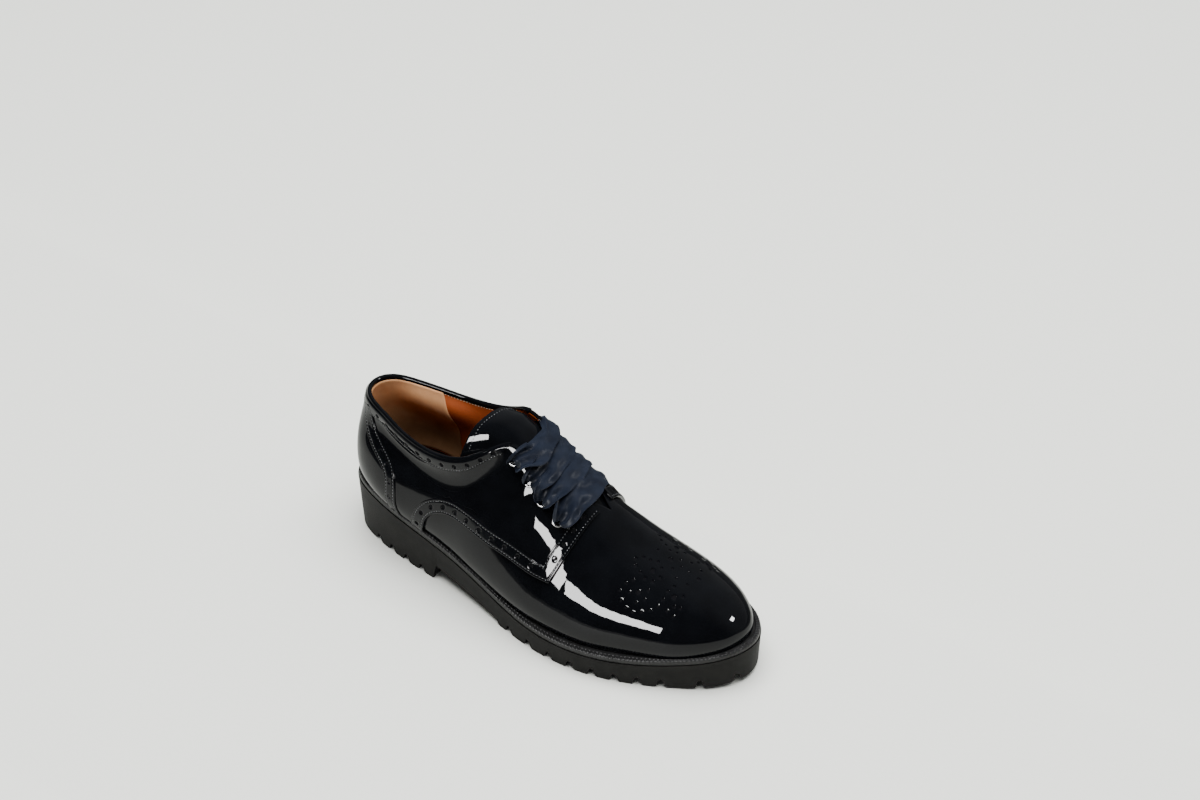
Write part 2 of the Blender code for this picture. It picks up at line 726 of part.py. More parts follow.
def make_quarter(name, side, parts):
    """A side panel between the counter's edge, the collar band, the facing and its own curved lower edge."""
    foot_share = QUARTER_FOOT_SHARE
    back = counter_edge(OVERLAY_GAP)
    ceiling = 1 - BAND_SHARE - BAND_GAP
    rim = polyline_spline(np.array([locate(x, z, side) for x, z in QUARTER_EDGE]) * WALL_SCALE)
    foot = base_station(COUNTER_FOOT + OVERLAY_GAP), base_station(QUARTER_HEEL_END)
    crest = top_station(COUNTER_TOP + OVERLAY_GAP), QUARTER_FRONT_STATION

    def low(p):
        on_welt = foot[0] + (foot[1] - foot[0]) * np.clip(p / foot_share, 0, 1)
        curve = rim(np.clip((p - foot_share) / (1 - foot_share), 0, 1))
        up = p > foot_share + 1e-6
        share = np.where(up, curve[..., 1] / WALL_SCALE[1], OVERLAY_FOOT)
        return np.where(up, curve[..., 0], on_welt), share

    def high(p):
        s = crest[0] + (crest[1] - crest[0]) * p
        facing_end = np.clip((THROAT + QUARTER_FRONT_FADE - s) / QUARTER_FRONT_FADE, 0, 1)
        top = np.where(s > FACING_TOP, band_low(s) - BAND_GAP, 1.0)
        return s, np.minimum(top, 1 - (1 - QUARTER_FRONT_TOP) * facing_end)

    def behind(q):
        at = back(q)
        return at[..., 0], OVERLAY_FOOT + np.clip(at[..., 1] / WALL_SCALE[1], 0, 1) * (ceiling - OVERLAY_FOOT)

    def front(q):
        s0, v0 = low(np.array(1.0))
        s1, v1 = high(np.array(1.0))
        return s0 + (s1 - s0) * q - QUARTER_FRONT_SWEEP * np.sin(math.pi * q), v0 + (v1 - v0) * q

    def place(u, v):
        mixed = []
        for axis in (0, 1):
            l0, l1 = low(np.array(0.0))[axis], low(np.array(1.0))[axis]
            h0, h1 = high(np.array(0.0))[axis], high(np.array(1.0))[axis]
            ruled = (1 - v) * low(u)[axis] + v * high(u)[axis]
            ruled = ruled + (1 - u) * behind(v)[axis] + u * front(v)[axis]
            corners = (1 - u) * (1 - v) * l0 + u * (1 - v) * l1 + (1 - u) * v * h0 + u * v * h1
            mixed.append(ruled - corners)
        return side * mixed[0], np.clip(mixed[1], 0.0, 1.0)

    return make_overlay(name, QUARTER_COLUMNS, 11, place, QUARTER_THICK, parts)


def make_collar_band(parts):
    end = FACING_TOP + BAND_END

    def place(u, v):
        around = (u * 2 - 1) * (HEEL_BACK - end)
        station = np.where(around < 0, -1.0, 1.0) * (HEEL_BACK - np.abs(around))
        low = band_low(station)
        return station, low + (1 - low) * v

    make_overlay("collar_band", 40, 1, place, BAND_THICK, parts)


def eyelet_places():
    """Station and height share of each eyelet, top to bottom, the same on both sides."""
    first, last = (np.array(locate(x, z, -1)) for x, z in (EYELET_TOP, EYELET_BOTTOM))
    return [first + (last - first) * i / (EYELET_COUNT - 1) for i in range(EYELET_COUNT)]


def arch(s, k, lift, wing):
    """Point over the throat at station s and across it (k from -1 outer to 1 inner), lifted off the wall."""
    shoulder = wing + ARCH_SHOULDER * (1 - wing)
    lifts = np.full_like(s, lift)
    points = [skin(side * s, np.full_like(s, share), lifts) for side, share in ((-1, wing), (-1, shoulder))]
    edges = [skin(side * s, np.ones_like(s), lifts) for side in (-1, 1)]
    crown = ARCH_CROWN * np.linalg.norm(edges[1] - edges[0], axis=1)
    points.append((edges[0] + edges[1]) / 2 + crown[:, None] * np.array([0.0, 0.0, 1.0]))
    points += [skin(side * s, np.full_like(s, share), lifts) for side, share in ((1, shoulder), (1, wing))]
    rows = np.stack(points, axis=1)
    return np.array([natural_spline(ARCH_KNOTS, row)(at) for row, at in zip(rows, k)])


def make_tongue(parts):
    """A sheet under the facings whose top part leans back inside the collar."""
    lift = -(UPPER_WALL + TONGUE_SEAT)
    top = natural_spline(ARCH_KNOTS, TONGUE_TOP)

    def place(u, v):
        k = v * 2 - 1
        s = TONGUE_FRONT + (TONGUE_BODY_END - TONGUE_FRONT) * np.minimum(u / TONGUE_BODY, 1.0)
        base = arch(s, k, lift, TONGUE_WING)
        blend = np.clip((u - TONGUE_BODY) / (1 - TONGUE_BODY), 0, 1)[:, None]
        return base * (1 - blend) + top(k) * blend

    bm = bmesh.new()
    grid(bm, 11, 10, place)
    face_up(bm)
    tongue = make_object("tongue", bm, "leather", parts)
    thicken(tongue, TONGUE_THICK, -1)


def eyelet_frame(side, index):
    """Centre on the upper's face and outward direction of an eyelet."""
    s, v = eyelet_places()[index]
    return wall(side * s, np.array(v)), wall_normal(side * s, np.array(v))


def make_eyelets(parts, cutters):
    """Turned eyelets, and the cutter for the holes that their barrels pass through."""
    seat = OVERLAY_SEAT + QUARTER_THICK + CLEARANCE
    low = -UPPER_WALL - EYELET_TAIL
    profile = (
        (EYELET_BORE, seat + EYELET_HEIGHT * 0.5),
        (EYELET_BORE + EYELET_LIP, seat + EYELET_HEIGHT),
        (EYELET_FLANGE - EYELET_LIP, seat + EYELET_HEIGHT),
        (EYELET_FLANGE, seat),
        (EYELET_BARREL, seat),
        (EYELET_BARREL, low),
        (EYELET_BORE, low),
    )
    holes = bmesh.new()
    for side, name in ((-1, "lateral"), (1, "medial")):
        for index in range(EYELET_COUNT):
            centre, normal = eyelet_frame(side, index)
            turn = to_direction(normal)
            bm = bmesh.new()
            verts = [bm.verts.new((r * MM, 0.0, h * MM)) for r, h in profile]
            for i in range(len(verts)):
                bm.edges.new((verts[i], verts[(i + 1) % len(verts)]))
            eyelet = make_object(f"eyelet_{name}_{index + 1}", bm, "metal", parts)
            screw = eyelet.modifiers.new("turn", "SCREW")
            screw.steps = screw.render_steps = 10
            screw.use_merge_vertices = True
            screw.merge_threshold = 0.01 * MM
            eyelet.rotation_euler = turn.to_euler()
            eyelet.location = (centre - ORIGIN) * MM
            radius, depth = EYELET_HOLE * MM, EYELET_HOLE_DEPTH * MM
            made = bmesh.ops.create_cone(
                holes, cap_ends=True, segments=12, radius1=radius, radius2=radius, depth=depth
            )["verts"]
            for vert in made:
                vert.co = turn @ vert.co + eyelet.location
    return make_cutter("eyelet_holes", holes, cutters)


def to_direction(normal):
    """Rotation that turns +Z to a direction."""
    return Vector(normal).to_track_quat("Z", "Y")


def make_lace_bars(parts):
    """Four straight ribbon bars from eyelet to eyelet, over the tongue."""
    lift = OVERLAY_SEAT + QUARTER_THICK + CLEARANCE + EYELET_HEIGHT + RIBBON_SEAT + RIBBON_THICK / 2
    places = eyelet_places()
    width = RIBBON_SHARE * (places[0][0] - places[1][0])
    for index, (s, v) in enumerate(places):
        bm = bmesh.new()
        grid(bm, 10, 2, lambda u, w: arch(s + (w - 0.5) * width, u * 2 - 1, lift, v))
        bar = make_object(f"lace_bar_{index + 1}", bm, "ribbon", parts)
        thicken(bar, RIBBON_THICK, 0)


def main():
    for obj in list(bpy.data.objects):
        bpy.data.objects.remove(obj)
    parts = bpy.data.collections.new("lace_up_shoe")
    cutters = bpy.data.collections.new("cutters")
    for collection in (parts, cutters):
        bpy.context.scene.collection.children.link(collection)
    make_outsole(parts, cutters)
    welt_inner = make_welt(parts)
    make_insole(parts, welt_inner)
    upper = make_upper(parts)
    lateral = make_quarter("quarter_lateral", -1, parts)
    medial = make_quarter("quarter_medial", 1, parts)
    make_counter(parts)
    make_collar_band(parts)
    make_tongue(parts)
    holes = make_eyelets(parts, cutters)
    for panel in (upper, lateral, medial):
        cut(panel, holes)
    make_lace_bars(parts)


main()
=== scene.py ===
"""Looks of a lace-up derby shoe for the right foot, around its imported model.

The shapes come from the same sections as the model: tables are in millimetres from the back of the sole,
on the ground, with the toe along +X and the inner side at +Y. Pieces are laid on the upper's wall by station
and height share, and put in the frame by row().
"""

import math

import bmesh
import bpy
import numpy as np
from mathutils import Matrix, Vector, kdtree


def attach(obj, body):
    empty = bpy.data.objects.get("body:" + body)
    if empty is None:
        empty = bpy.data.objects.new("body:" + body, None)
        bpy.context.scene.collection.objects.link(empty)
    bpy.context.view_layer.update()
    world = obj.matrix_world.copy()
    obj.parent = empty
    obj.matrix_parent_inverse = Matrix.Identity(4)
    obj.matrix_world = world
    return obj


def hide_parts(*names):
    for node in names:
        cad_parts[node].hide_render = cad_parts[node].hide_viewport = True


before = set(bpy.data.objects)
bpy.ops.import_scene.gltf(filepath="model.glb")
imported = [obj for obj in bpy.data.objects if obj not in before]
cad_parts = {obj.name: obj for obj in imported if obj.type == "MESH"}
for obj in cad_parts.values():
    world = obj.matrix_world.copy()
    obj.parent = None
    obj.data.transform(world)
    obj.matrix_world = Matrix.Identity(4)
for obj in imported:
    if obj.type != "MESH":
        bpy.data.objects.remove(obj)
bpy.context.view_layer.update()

MM = 0.001
CLEARANCE = 0.3
WELD = 0.02
LOOP_WRAP = 6

# Offsets of the layers from the upper's outer face
SHELL_WALL = 0.8
LINING_TOP = -1.05
LINING_TOE = -1.4
LINING_THICK = 0.45
QUARTER_TOP = 1.4
QUARTER_TRIM_TOP = 1.95
COUNTER_TOP_FACE = 1.75
COUNTER_TRIM_TOP = 2.15
PANEL_LOW = 0.1
PUNCH_DEPTH = 0.55
PUNCH_ROLL = 0.28
PUNCH_MARGIN = 0.35
PUNCH_SEGMENTS = 14
# Wall of a punched hole: share of the roll, share of the depth, whether it ends in a sharp edge
PUNCH_STEPS = ((0.45, 0.12, False), (1.0, 0.4, True), (1.0, 1.0, True))
TOE_PUNCH_DEPTH = 0.42
TOE_PUNCH_ROLL = 0.09
FACE_SLACK = 0.2
LINE_STEP = 0.85
PANEL_ROUND = 0.9
SHARP_TRIM = 60
SHARP_SOLE = 35

# Thread: pitch, then length as a share of it, width and height of a bead, and how rows lie on a strip
STITCH_PITCH = 2.1
BEAD_LENGTH = 0.54
BEAD_WIDTH = 0.62
STITCH_INSET = 1.55
STITCH_SINK = 0.12

# Sole
WELT_HEIGHT = 3.4
WELT_BEAD = 0.5
WELT_SETBACK = 0.5
WELT_UNDER_UPPER = 2.4
WELT_FACE = 4.2
RIB_PITCH = 2.5
RIB_STEPS = 6
RIB_DEPTH = 1.0
RIB_SLANT = 0.22
INSOLE_HEIGHT = 5.0
HEEL_BREAST = 79.0
BREAST_SLOPE = 3.0
ARCH_BACK = 12.0
ARCH_FRONT = 3.8
TREAD_START = 136.0
TREAD_SLOPE = 2.0
SPRING_START = 215.0
SPRING_END = 290.0
TOE_SPRING = 4.3
SOLE_TAPER = (2.2, 1.4, 0.6)
LUG_LENGTH = 11.0
LUG_NOTCH = ((3.9, -2.0), (3.5, 0.0), (2.8, 0.5), (2.3, 1.4), (1.9, 3.4), (1.4, 4.9), (0.6, 5.5))
LUG_PITCH = 13.6
HEEL_NOTCHES = (28.8, 42.2, 55.4, 68.8)
FOREFOOT_NOTCHES = (147.3, 163.7, 180.0, 195.1, 210.0, 223.6, 236.8, 249.6, 270.1, 285.8)
CUTTER_LOW = -2.0
GROOVE = 4.0
GROOVE_DEPTH = 3.6
GROOVE_CUT = ((2.6, -2.0), (2.4, 0.0), (2.0, 0.6), (1.7, 2.6), (1.2, 3.4), (0.5, 3.6))
GROOVE_SLANT = (0.25, 0.97)
FOREFOOT_RING = (17.0, 150.0, 262.0)
HEEL_RING = (14.0, 16.0, 68.0)
FOREFOOT_GROOVES = (166.0, 252.0)
HEEL_GROOVES = (31.0, 60.0)
HEEL_GROOVE_LENGTH = 22.0

# Sole outline: distance from the back, outer edge and inner edge
SOLE_OUTLINE = (
    (0.0, 0.0, 0.0),
    (6.5, -17.5, 17.6),
    (23.0, -27.2, 29.0),
    (55.0, -34.7, 32.2),
    (94.0, -39.8, 30.2),
    (134.0, -47.5, 33.4),
    (170.0, -54.7, 44.4),
    (200.0, -54.4, 50.2),
    (230.0, -46.4, 48.6),
    (257.0, -33.6, 39.9),
    (278.0, -19.3, 26.5),
    (289.5, 3.5, 3.5),
)

# Top of the sole's edge: distance from the back, height
SOLE_TOP = (
    (0.0, 38.5),
    (30.0, 35.5),
    (60.0, 32.0),
    (100.0, 25.5),
    (130.0, 19.0),
    (150.0, 15.8),
    (175.0, 14.2),
    (200.0, 14.0),
    (230.0, 15.5),
    (255.0, 18.6),
    (275.0, 22.3),
    (290.0, 25.8),
)

# Sections of the upper from the toe tip back to the heel, as in the model
SECTION_COLUMNS = (
    "base_x", "base_outer", "base_inner",
    "outer_x", "outer_y", "outer_z",
    "inner_x", "inner_y", "inner_z",
    "lean", "rise", "drop", "reach",
)
SECTIONS = (
    ("toe tip", 284.0, 3.5, 3.5, 259.0, 2.5, 54.0, 259.0, 2.5, 54.0, 14, 13, 0, 14),
    ("toe bend", 280.0, -10.5, 15.5, 255.0, 2.5, 55.4, 255.0, 2.5, 55.4, 16, 14, 0, 16),
    ("toe side", 268.5, -23.0, 27.5, 248.0, 2.5, 57.6, 248.0, 2.5, 57.6, 17, 16, 0, 18),
    ("cap", 251.0, -33.5, 38.0, 237.0, 2.5, 60.8, 237.0, 2.5, 60.8, 18, 17, 0, 21),
    ("little toe", 228.0, -41.5, 43.5, 221.0, 2.5, 65.3, 221.0, 2.5, 65.3, 18, 19, 0, 24),
    ("ball", 203.0, -48.5, 45.0, 204.0, 2.0, 71.8, 204.0, 2.0, 71.8, 16, 21, 0, 25),
    ("throat", 180.0, -50.0, 42.0, 187.0, 2.0, 81.0, 187.0, 2.0, 81.0, 13, 22, 2, 26),
    ("facing 4", 160.0, -48.5, 36.5, 171.0, -7.0, 90.0, 170.0, 10.0, 90.5, 10, 23, 22, 25),
    ("facing 3", 143.0, -46.0, 31.5, 156.0, -9.5, 98.6, 154.0, 12.0, 99.6, 8, 24, 28, 24),
    ("facing 2", 127.0, -43.0, 28.0, 141.0, -12.0, 107.0, 136.0, 14.0, 109.0, 6, 24, 33, 22),
    ("facing 1", 111.0, -40.0, 26.5, 125.0, -14.5, 114.5, 117.0, 16.0, 116.5, 5, 24, 40, 22),
    ("collar 4", 95.0, -37.0, 26.5, 107.0, -25.0, 104.5, 101.0, 23.5, 107.0, 4, 22, 70, 18),
    ("collar 3", 78.0, -35.0, 27.5, 88.0, -28.5, 95.5, 84.0, 27.5, 98.0, 4, 22, 82, 18),
    ("collar 2", 61.0, -33.0, 28.5, 66.0, -27.5, 93.5, 64.0, 27.0, 95.0, 5, 22, 84, 18),
    ("collar 1", 43.5, -30.0, 29.0, 45.5, -23.5, 96.0, 45.5, 23.0, 97.0, 8, 23, 84, 18),
    ("heel side", 27.2, -25.0, 25.7, 30.5, -19.0, 99.0, 30.5, 18.7, 99.3, 11, 24, 82, 18),
    ("heel bend", 12.0, -16.6, 17.4, 15.6, -12.5, 101.0, 15.6, 12.5, 101.2, 13, 25, 80, 20),
    ("heel back", 4.6, 0.0, 0.0, 9.0, 0.0, 102.0, 9.0, 0.0, 102.0, 13, 26, 78, 22),
)
HEEL_BACK = len(SECTIONS) - 1
THROAT = [row[0] for row in SECTIONS].index("throat")
INNER_REACH_SHARE = 0.82
WALL_SCALE = np.array([1.0, 4.0])
UP = np.array([0.0, 0.0, 1.0])

# The side walls swell low down and draw in above: station and how far, and the height shares it takes
SWELL = ((4.0, 0.0), (8.0, 3.6), (14.0, 3.6), (17.0, 0.0))
SWELL_TOP = 0.75
HOLLOW = ((5.5, 0.0), (7.4, -3.0), (9.0, 1.3), (10.5, 4.5), (14.5, 4.5), (17.0, 0.0))
HOLLOW_SHARES = (0.38, 1.04)

# Lower edge of a quarter in side view, from where it leaves the welt to its front corner
QUARTER_HEEL_END = 73.5
QUARTER_EDGE = (
    (74.3, 41.0),
    (76.0, 47.0),
    (81.0, 53.4),
    (90.0, 57.8),
    (102.0, 58.9),
    (119.0, 57.0),
    (135.0, 54.3),
    (152.0, 51.8),
    (173.3, 49.2),
)
QUARTER_FRONT_TOP = 0.93
QUARTER_FRONT_STATION = 6.22
QUARTER_FRONT_SWEEP = 0.08

# Front edge of the counter in side view, from the welt to the collar
COUNTER_FOOT = 56.0
COUNTER_EDGE = (
    (52.8, 45.0),
    (51.0, 59.3),
    (46.0, 71.4),
    (35.4, 78.2),
    (26.5, 84.3),
    (21.5, 93.0),
)
COUNTER_TOP = 20.0
OVERLAY_FOOT = 0.02
BAND_WIDTH = 9.3
BAND_END = 10.02
TRIM_WIDTH = 9.6
COUNTER_TRIM_WIDTH = 8.6

# How far panels run on under their neighbours: in millimetres, then as height shares
PANEL_OVERLAP = 1.5
PANEL_TUCK = 0.08
COUNTER_TRIM_TUCK = 0.07

# Holes along the strips: radius and pitch
QUARTER_HOLES = (1.45, 10.0)
COUNTER_HOLES = (1.4, 9.0)
BAND_HOLES = (1.4, 9.6)
BAND_HOLE_LINE = 0.52

# Top and bottom eyelet in side view on the outer side: distance from the back, height
EYELET_COUNT = 4
EYELET_TOP = (130.0, 106.4)
EYELET_BOTTOM = (165.8, 80.5)

# Tongue: how far its wings reach below the facings, then lines across it at its neck and its top edge
TONGUE_FRONT = 5.6
TONGUE_WING = 0.74
TONGUE_KNOTS = (-1.0, -0.75, -0.5, -0.3, 0.0, 0.45, 1.0)
TONGUE_NECK = (
    (109.0, -17.2, 100.1),
    (109.5, -13.7, 107.2),
    (110.0, -9.7, 113.3),
    (111.0, -5.0, 116.8),
    (113.0, 3.0, 118.0),
    (114.0, 12.5, 115.5),
    (115.0, 17.0, 109.0),
)
TONGUE_TOP = (
    (93.5, -24.35, 95.65),
    (94.3, -20.8, 102.7),
    (95.1, -16.8, 108.8),
    (96.0, -12.0, 113.0),
    (98.0, 0.5, 116.0),
    (100.0, 12.0, 114.0),
    (102.0, 17.5, 108.5),
)
TONGUE_BODY = 0.72
TONGUE_BODY_END = 9.8
TONGUE_LIFT = -2.8
TONGUE_THICK = 1.7
TONGUE_SEAM = 0.965
TONGUE_SEAM_SPAN = (0.06, 0.94)
ARCH_KNOTS = (-1.0, -0.45, 0.0, 0.45, 1.0)
ARCH_CROWN = 0.13
ARCH_SHOULDER = 0.7

# Toe punches by radius: distance from the back, distance from the ridge on either side
TOE_PUNCHES = (
    (1.5, (
        (225.0, 13.1), (224.2, 26.9), (243.6, 18.2),
    )),
    (0.8, (
        (213.0, 13.0), (216.2, 9.7), (220.3, 8.6), (215.0, 16.4), (219.3, 18.0), (223.5, 19.2),
        (228.4, 18.0), (230.6, 13.8), (228.2, 8.6), (224.4, 6.4), (218.4, 23.3), (215.4, 26.8),
        (219.6, 29.4), (228.8, 23.0), (229.4, 27.8), (225.6, 31.4), (214.0, 31.6), (217.0, 34.8),
        (221.2, 36.0), (225.8, 35.8), (230.6, 33.4), (234.6, 30.4), (237.9, 26.6), (239.0, 22.4),
        (238.7, 17.6), (240.4, 13.4), (246.6, 22.0), (243.8, 25.8), (250.0, 20.8), (248.4, 26.0),
        (247.8, 15.0), (233.4, 4.6), (238.6, 8.6), (246.0, 7.6),
    )),
)
TOE_RIDGE_PUNCHES = ((219.6, 0.8), (228.6, 1.5), (236.6, 0.8), (241.8, 0.8), (248.6, 1.2))
RIDGE_Y = 2.3


def natural_spline(knots, values):
    """The natural cubic spline through the rows of values at the knots, as a function of t."""
    knots = np.asarray(knots, float)
    values = np.asarray(values, float)
    step = np.diff(knots)
    count = len(knots)
    system = np.eye(count)
    right = np.zeros_like(values)
    for i in range(1, count - 1):
        system[i, i - 1 : i + 2] = step[i - 1], 2 * (step[i - 1] + step[i]), step[i]
        after = (values[i + 1] - values[i]) / step[i]
        before = (values[i] - values[i - 1]) / step[i - 1]
        right[i] = 6 * (after - before)
    bend = np.linalg.solve(system, right)

    def at(t):
        t = np.asarray(t, float)
        i = np.clip(np.searchsorted(knots, t, side="right") - 1, 0, count - 2)
        width = step[i][..., None]
        a = (knots[i + 1] - t)[..., None] / width
        b = 1 - a
        curve = ((a**3 - a) * bend[i] + (b**3 - b) * bend[i + 1]) * width**2 / 6
        return a * values[i] + b * values[i + 1] + curve

    return at


def run_along(points):
    """Distance along a line of points."""
    return np.concatenate([[0], np.cumsum(np.linalg.norm(np.diff(points, axis=0), axis=1))])


def polyline_spline(points):
    """A spline through points, as a function of the share of its length from 0 to 1."""
    points = np.asarray(points, float)
    length = run_along(points)
    return natural_spline(length / length[-1], points)


def column_spline(rows):
    curve = natural_spline([row[0] for row in rows], [[row[1]] for row in rows])
    return lambda x: curve(x)[..., 0]


def ease(t):
    """From 0 to 1 with no corner in slope or bend at either end."""
    t = np.clip(t, 0.0, 1.0)
    return t**3 * (10 - 15 * t + 6 * t**2)


def unit(vectors):
    return vectors / np.linalg.norm(vectors, axis=-1)[..., None]


sole_top = column_spline(SOLE_TOP)


def sole_outline(samples):
    """The closed outline from the heel back along the outer side, round the toe and back."""
    outer = [(row[0], row[1]) for row in SOLE_OUTLINE]
    inner = [(row[0], row[2]) for row in SOLE_OUTLINE[-2:0:-1]]
    ring = np.array(outer + inner)
    count = len(ring)
    wrapped = ring[np.arange(-LOOP_WRAP, count + LOOP_WRAP + 1) % count]
    length = run_along(wrapped)
    curve = natural_spline(length, wrapped)
    return curve(np.linspace(length[LOOP_WRAP], length[LOOP_WRAP + count], samples, endpoint=False))


def inward(points):
    """Unit vectors in plan that point to the inside of a closed outline."""
    along = np.roll(points, -1, axis=0) - np.roll(points, 1, axis=0)
    return unit(np.stack([-along[:, 1], along[:, 0]], axis=1))


def inset(points, distance):
    distance = np.broadcast_to(distance, len(points))
    return points + inward(points) * distance[:, None]


def edges_at(points, x):
    """Outer and inner edge of a closed outline at each distance x from the back."""
    heel = int(np.argmin(points[:, 0]))
    toe = (int(np.argmax(points[:, 0])) - heel) % len(points)
    ring = np.roll(points, -heel, axis=0)
    outer = ring[: toe + 1]
    inner = np.concatenate([ring[:1], ring[: toe - 1 : -1]])
    return np.interp(x, outer[:, 0], outer[:, 1]), np.interp(x, inner[:, 0], inner[:, 1])


OUTLINE = sole_outline(1440)
OUTLINE_BOX = sole_outline(720)
ORIGIN = np.array([*(OUTLINE_BOX.min(axis=0) + OUTLINE_BOX.max(axis=0)) / 2, 0.0])


def row(points):
    """From the tables' millimetres to the frame's metres."""
    return (np.asarray(points, float) - ORIGIN) * MM


def section_loop():
    """The sections as a spline round the shoe: 0 the toe tip, below it the outer side, above the inner."""
    column = {name: i + 1 for i, name in enumerate(SECTION_COLUMNS)}
    sides = {}
    for side, share in (("outer", 1.0), ("inner", INNER_REACH_SHARE)):
        names = ["base_x", f"base_{side}"] + [f"{side}_{axis}" for axis in "xyz"] + ["lean", "rise", "drop"]
        rows = [[line[column[name]] for name in names] for line in SECTIONS]
        reach = [line[column["reach"]] * share for line in SECTIONS]
        sides[side] = np.column_stack([rows, reach])
    knots = np.arange(-HEEL_BACK - LOOP_WRAP, HEEL_BACK + LOOP_WRAP + 1)
    values = []
    for knot in knots:
        place = (knot + HEEL_BACK) % (2 * HEEL_BACK) - HEEL_BACK
        values.append(sides["outer" if place < 0 else "inner"][abs(place)])
    return natural_spline(knots, values)


section_at = section_loop()


def top_edge(s):
    """The upper's top line at station s: one shared ridge up to the throat, then each side's own edge."""
    own = section_at(s)[..., 2:5]
    other = section_at(-np.asarray(s, float))[..., 2:5]
    return np.where((np.abs(s) <= THROAT)[..., None], (own + other) / 2, own)


def eased(x, rows):
    """Values of a table at x, flat at each of its rows."""
    knots, values = np.array(rows).T
    i = np.clip(np.searchsorted(knots, x, side="right") - 1, 0, len(knots) - 2)
    share = ease((x - knots[i]) / (knots[i + 1] - knots[i]))
    return values[i] + (values[i + 1] - values[i]) * share


def swell(s, v):
    """How far the wall stands out of its plain section: out low down, in above."""
    low = np.clip(v / SWELL_TOP, 0, 1)
    high = np.clip((v - HOLLOW_SHARES[0]) / (HOLLOW_SHARES[1] - HOLLOW_SHARES[0]), 0, 1)
    out = 256 / 27 * low * (1 - low) ** 3
    into = 64 * high**3 * (1 - high) ** 3
    return out * eased(np.abs(s), SWELL) - into * eased(np.abs(s), HOLLOW)


def wall(s, v):
    """Point of the upper's outer face at station s, from the welt (v = 0) to the top line (v = 1)."""
    s, v = np.broadcast_arrays(np.asarray(s, float), np.asarray(v, float))
    columns = section_at(s)
    lean, drop = np.radians(columns[..., 5]), np.radians(columns[..., 7])
    rise, reach = columns[..., 6], columns[..., 8]
    base = np.concatenate([columns[..., :2], np.zeros(s.shape + (1,))], axis=-1)
    base[..., 2] = sole_top(base[..., 0]) + 2 * CLEARANCE + WELT_HEIGHT
    top = top_edge(s)
    out = unit(base[..., :2] - top[..., :2])
    near = np.maximum(np.abs(s), 0.1)
    side = np.where(s < 0, -1.0, 1.0)
    ahead, behind = top_edge(side * (near - 0.05)), top_edge(side * (near + 0.05))
    slope = (ahead[..., 2] - behind[..., 2]) / (ahead[..., 0] - behind[..., 0])
    slope = slope * np.clip(THROAT + 1 - np.abs(s), 0, 1)
    low = np.stack([out[..., 0] * np.sin(lean), out[..., 1] * np.sin(lean), np.cos(lean)], axis=-1)
    fall = out[..., 0] * slope * np.cos(drop) - np.sin(drop)
    high = np.stack([out[..., 0] * np.cos(drop), out[..., 1] * np.cos(drop), fall], axis=-1)
    first = base + low * rise[..., None]
    second = top + high * reach[..., None]
    w = v[..., None]
    plain = (1 - w) ** 3 * base + 3 * (1 - w) ** 2 * w * first + 3 * (1 - w) * w**2 * second + w**3 * top
    plain[..., :2] += out * swell(s, v)[..., None]
    return plain


def slopes(s, v):
    """The wall's two tangents at a place."""
    step = 0.004
    by_s = (wall(s + step, v) - wall(s - step, v)) / (2 * step)
    by_v = (wall(s, v + step) - wall(s, v - step)) / (2 * step)
    return by_s, by_v


def wall_normal(s, v):
    by_s, by_v = slopes(np.asarray(s, float), np.minimum(np.asarray(v, float), 0.99))
    return unit(np.cross(by_s, by_v))


def skin(s, v, offset):
    """Point at a distance outside the upper's outer face."""
    offset = np.broadcast_to(np.asarray(offset, float), np.shape(s))
    return wall(s, v) + wall_normal(s, v) * offset[..., None]


def locate(x, z, side):
    """Station and height share of the wall where its side view passes (x, z); side is -1 outer, 1 inner."""
    stations = np.linspace(THROAT - 1, HEEL_BACK, 241)
    middle = wall(side * stations, np.full_like(stations, 0.5))[..., 0]
    s = float(stations[np.argmin(np.abs(middle - x))])
    v = 0.5
    step = 0.002
    for _ in range(12):
        here = wall(side * s, v)[[0, 2]]
        by_s = (wall(side * (s + step), v)[[0, 2]] - here) / step
        by_v = (wall(side * s, v + step)[[0, 2]] - here) / step
        change = np.linalg.solve(np.column_stack([by_s, by_v]), np.array([x, z]) - here)
        s = float(np.clip(s + np.clip(change[0], -1, 1), THROAT - 1, HEEL_BACK))
        v = float(np.clip(v + np.clip(change[1], -0.3, 0.3), 0.0, 1.0))
    return s, v


def settle(x, y):
    """Station and height share of the vamp's place over a point in plan."""
    side = -1.0 if y < RIDGE_Y else 1.0
    stations, shares = (a.ravel() for a in np.meshgrid(np.linspace(0.0, 6.0, 61), np.linspace(0.3, 1.0, 36)))
    off = wall(side * stations, shares)[:, :2] - np.array([x, y])
    best = int(np.argmin(np.linalg.norm(off, axis=1)))
    s, v = side * stations[best], shares[best]
    for _ in range(10):
        here = wall(s, v)[:2]
        by_s, by_v = slopes(s, v)
        plan = np.column_stack([by_s[:2], by_v[:2]])
        change = np.linalg.lstsq(plan, np.array([x, y]) - here, rcond=None)[0]
        s = side * float(np.clip(abs(s + np.clip(change[0], -0.3, 0.3)), 0.0, 6.0))
        v = float(np.clip(v + np.clip(change[1], -0.1, 0.1), 0.2, 0.995))
    return s, v


def base_station(x):
    """Station whose section stands on the welt at distance x from the back."""
    stations = np.linspace(THROAT, HEEL_BACK, 801)
    return float(np.interp(-x, -section_at(-stations)[:, 0], stations))


def top_station(x):
    """Station whose section ends at the collar at distance x from the back."""
    stations = np.linspace(THROAT, HEEL_BACK, 801)
    return float(np.interp(-x, -top_edge(-stations)[:, 0], stations))


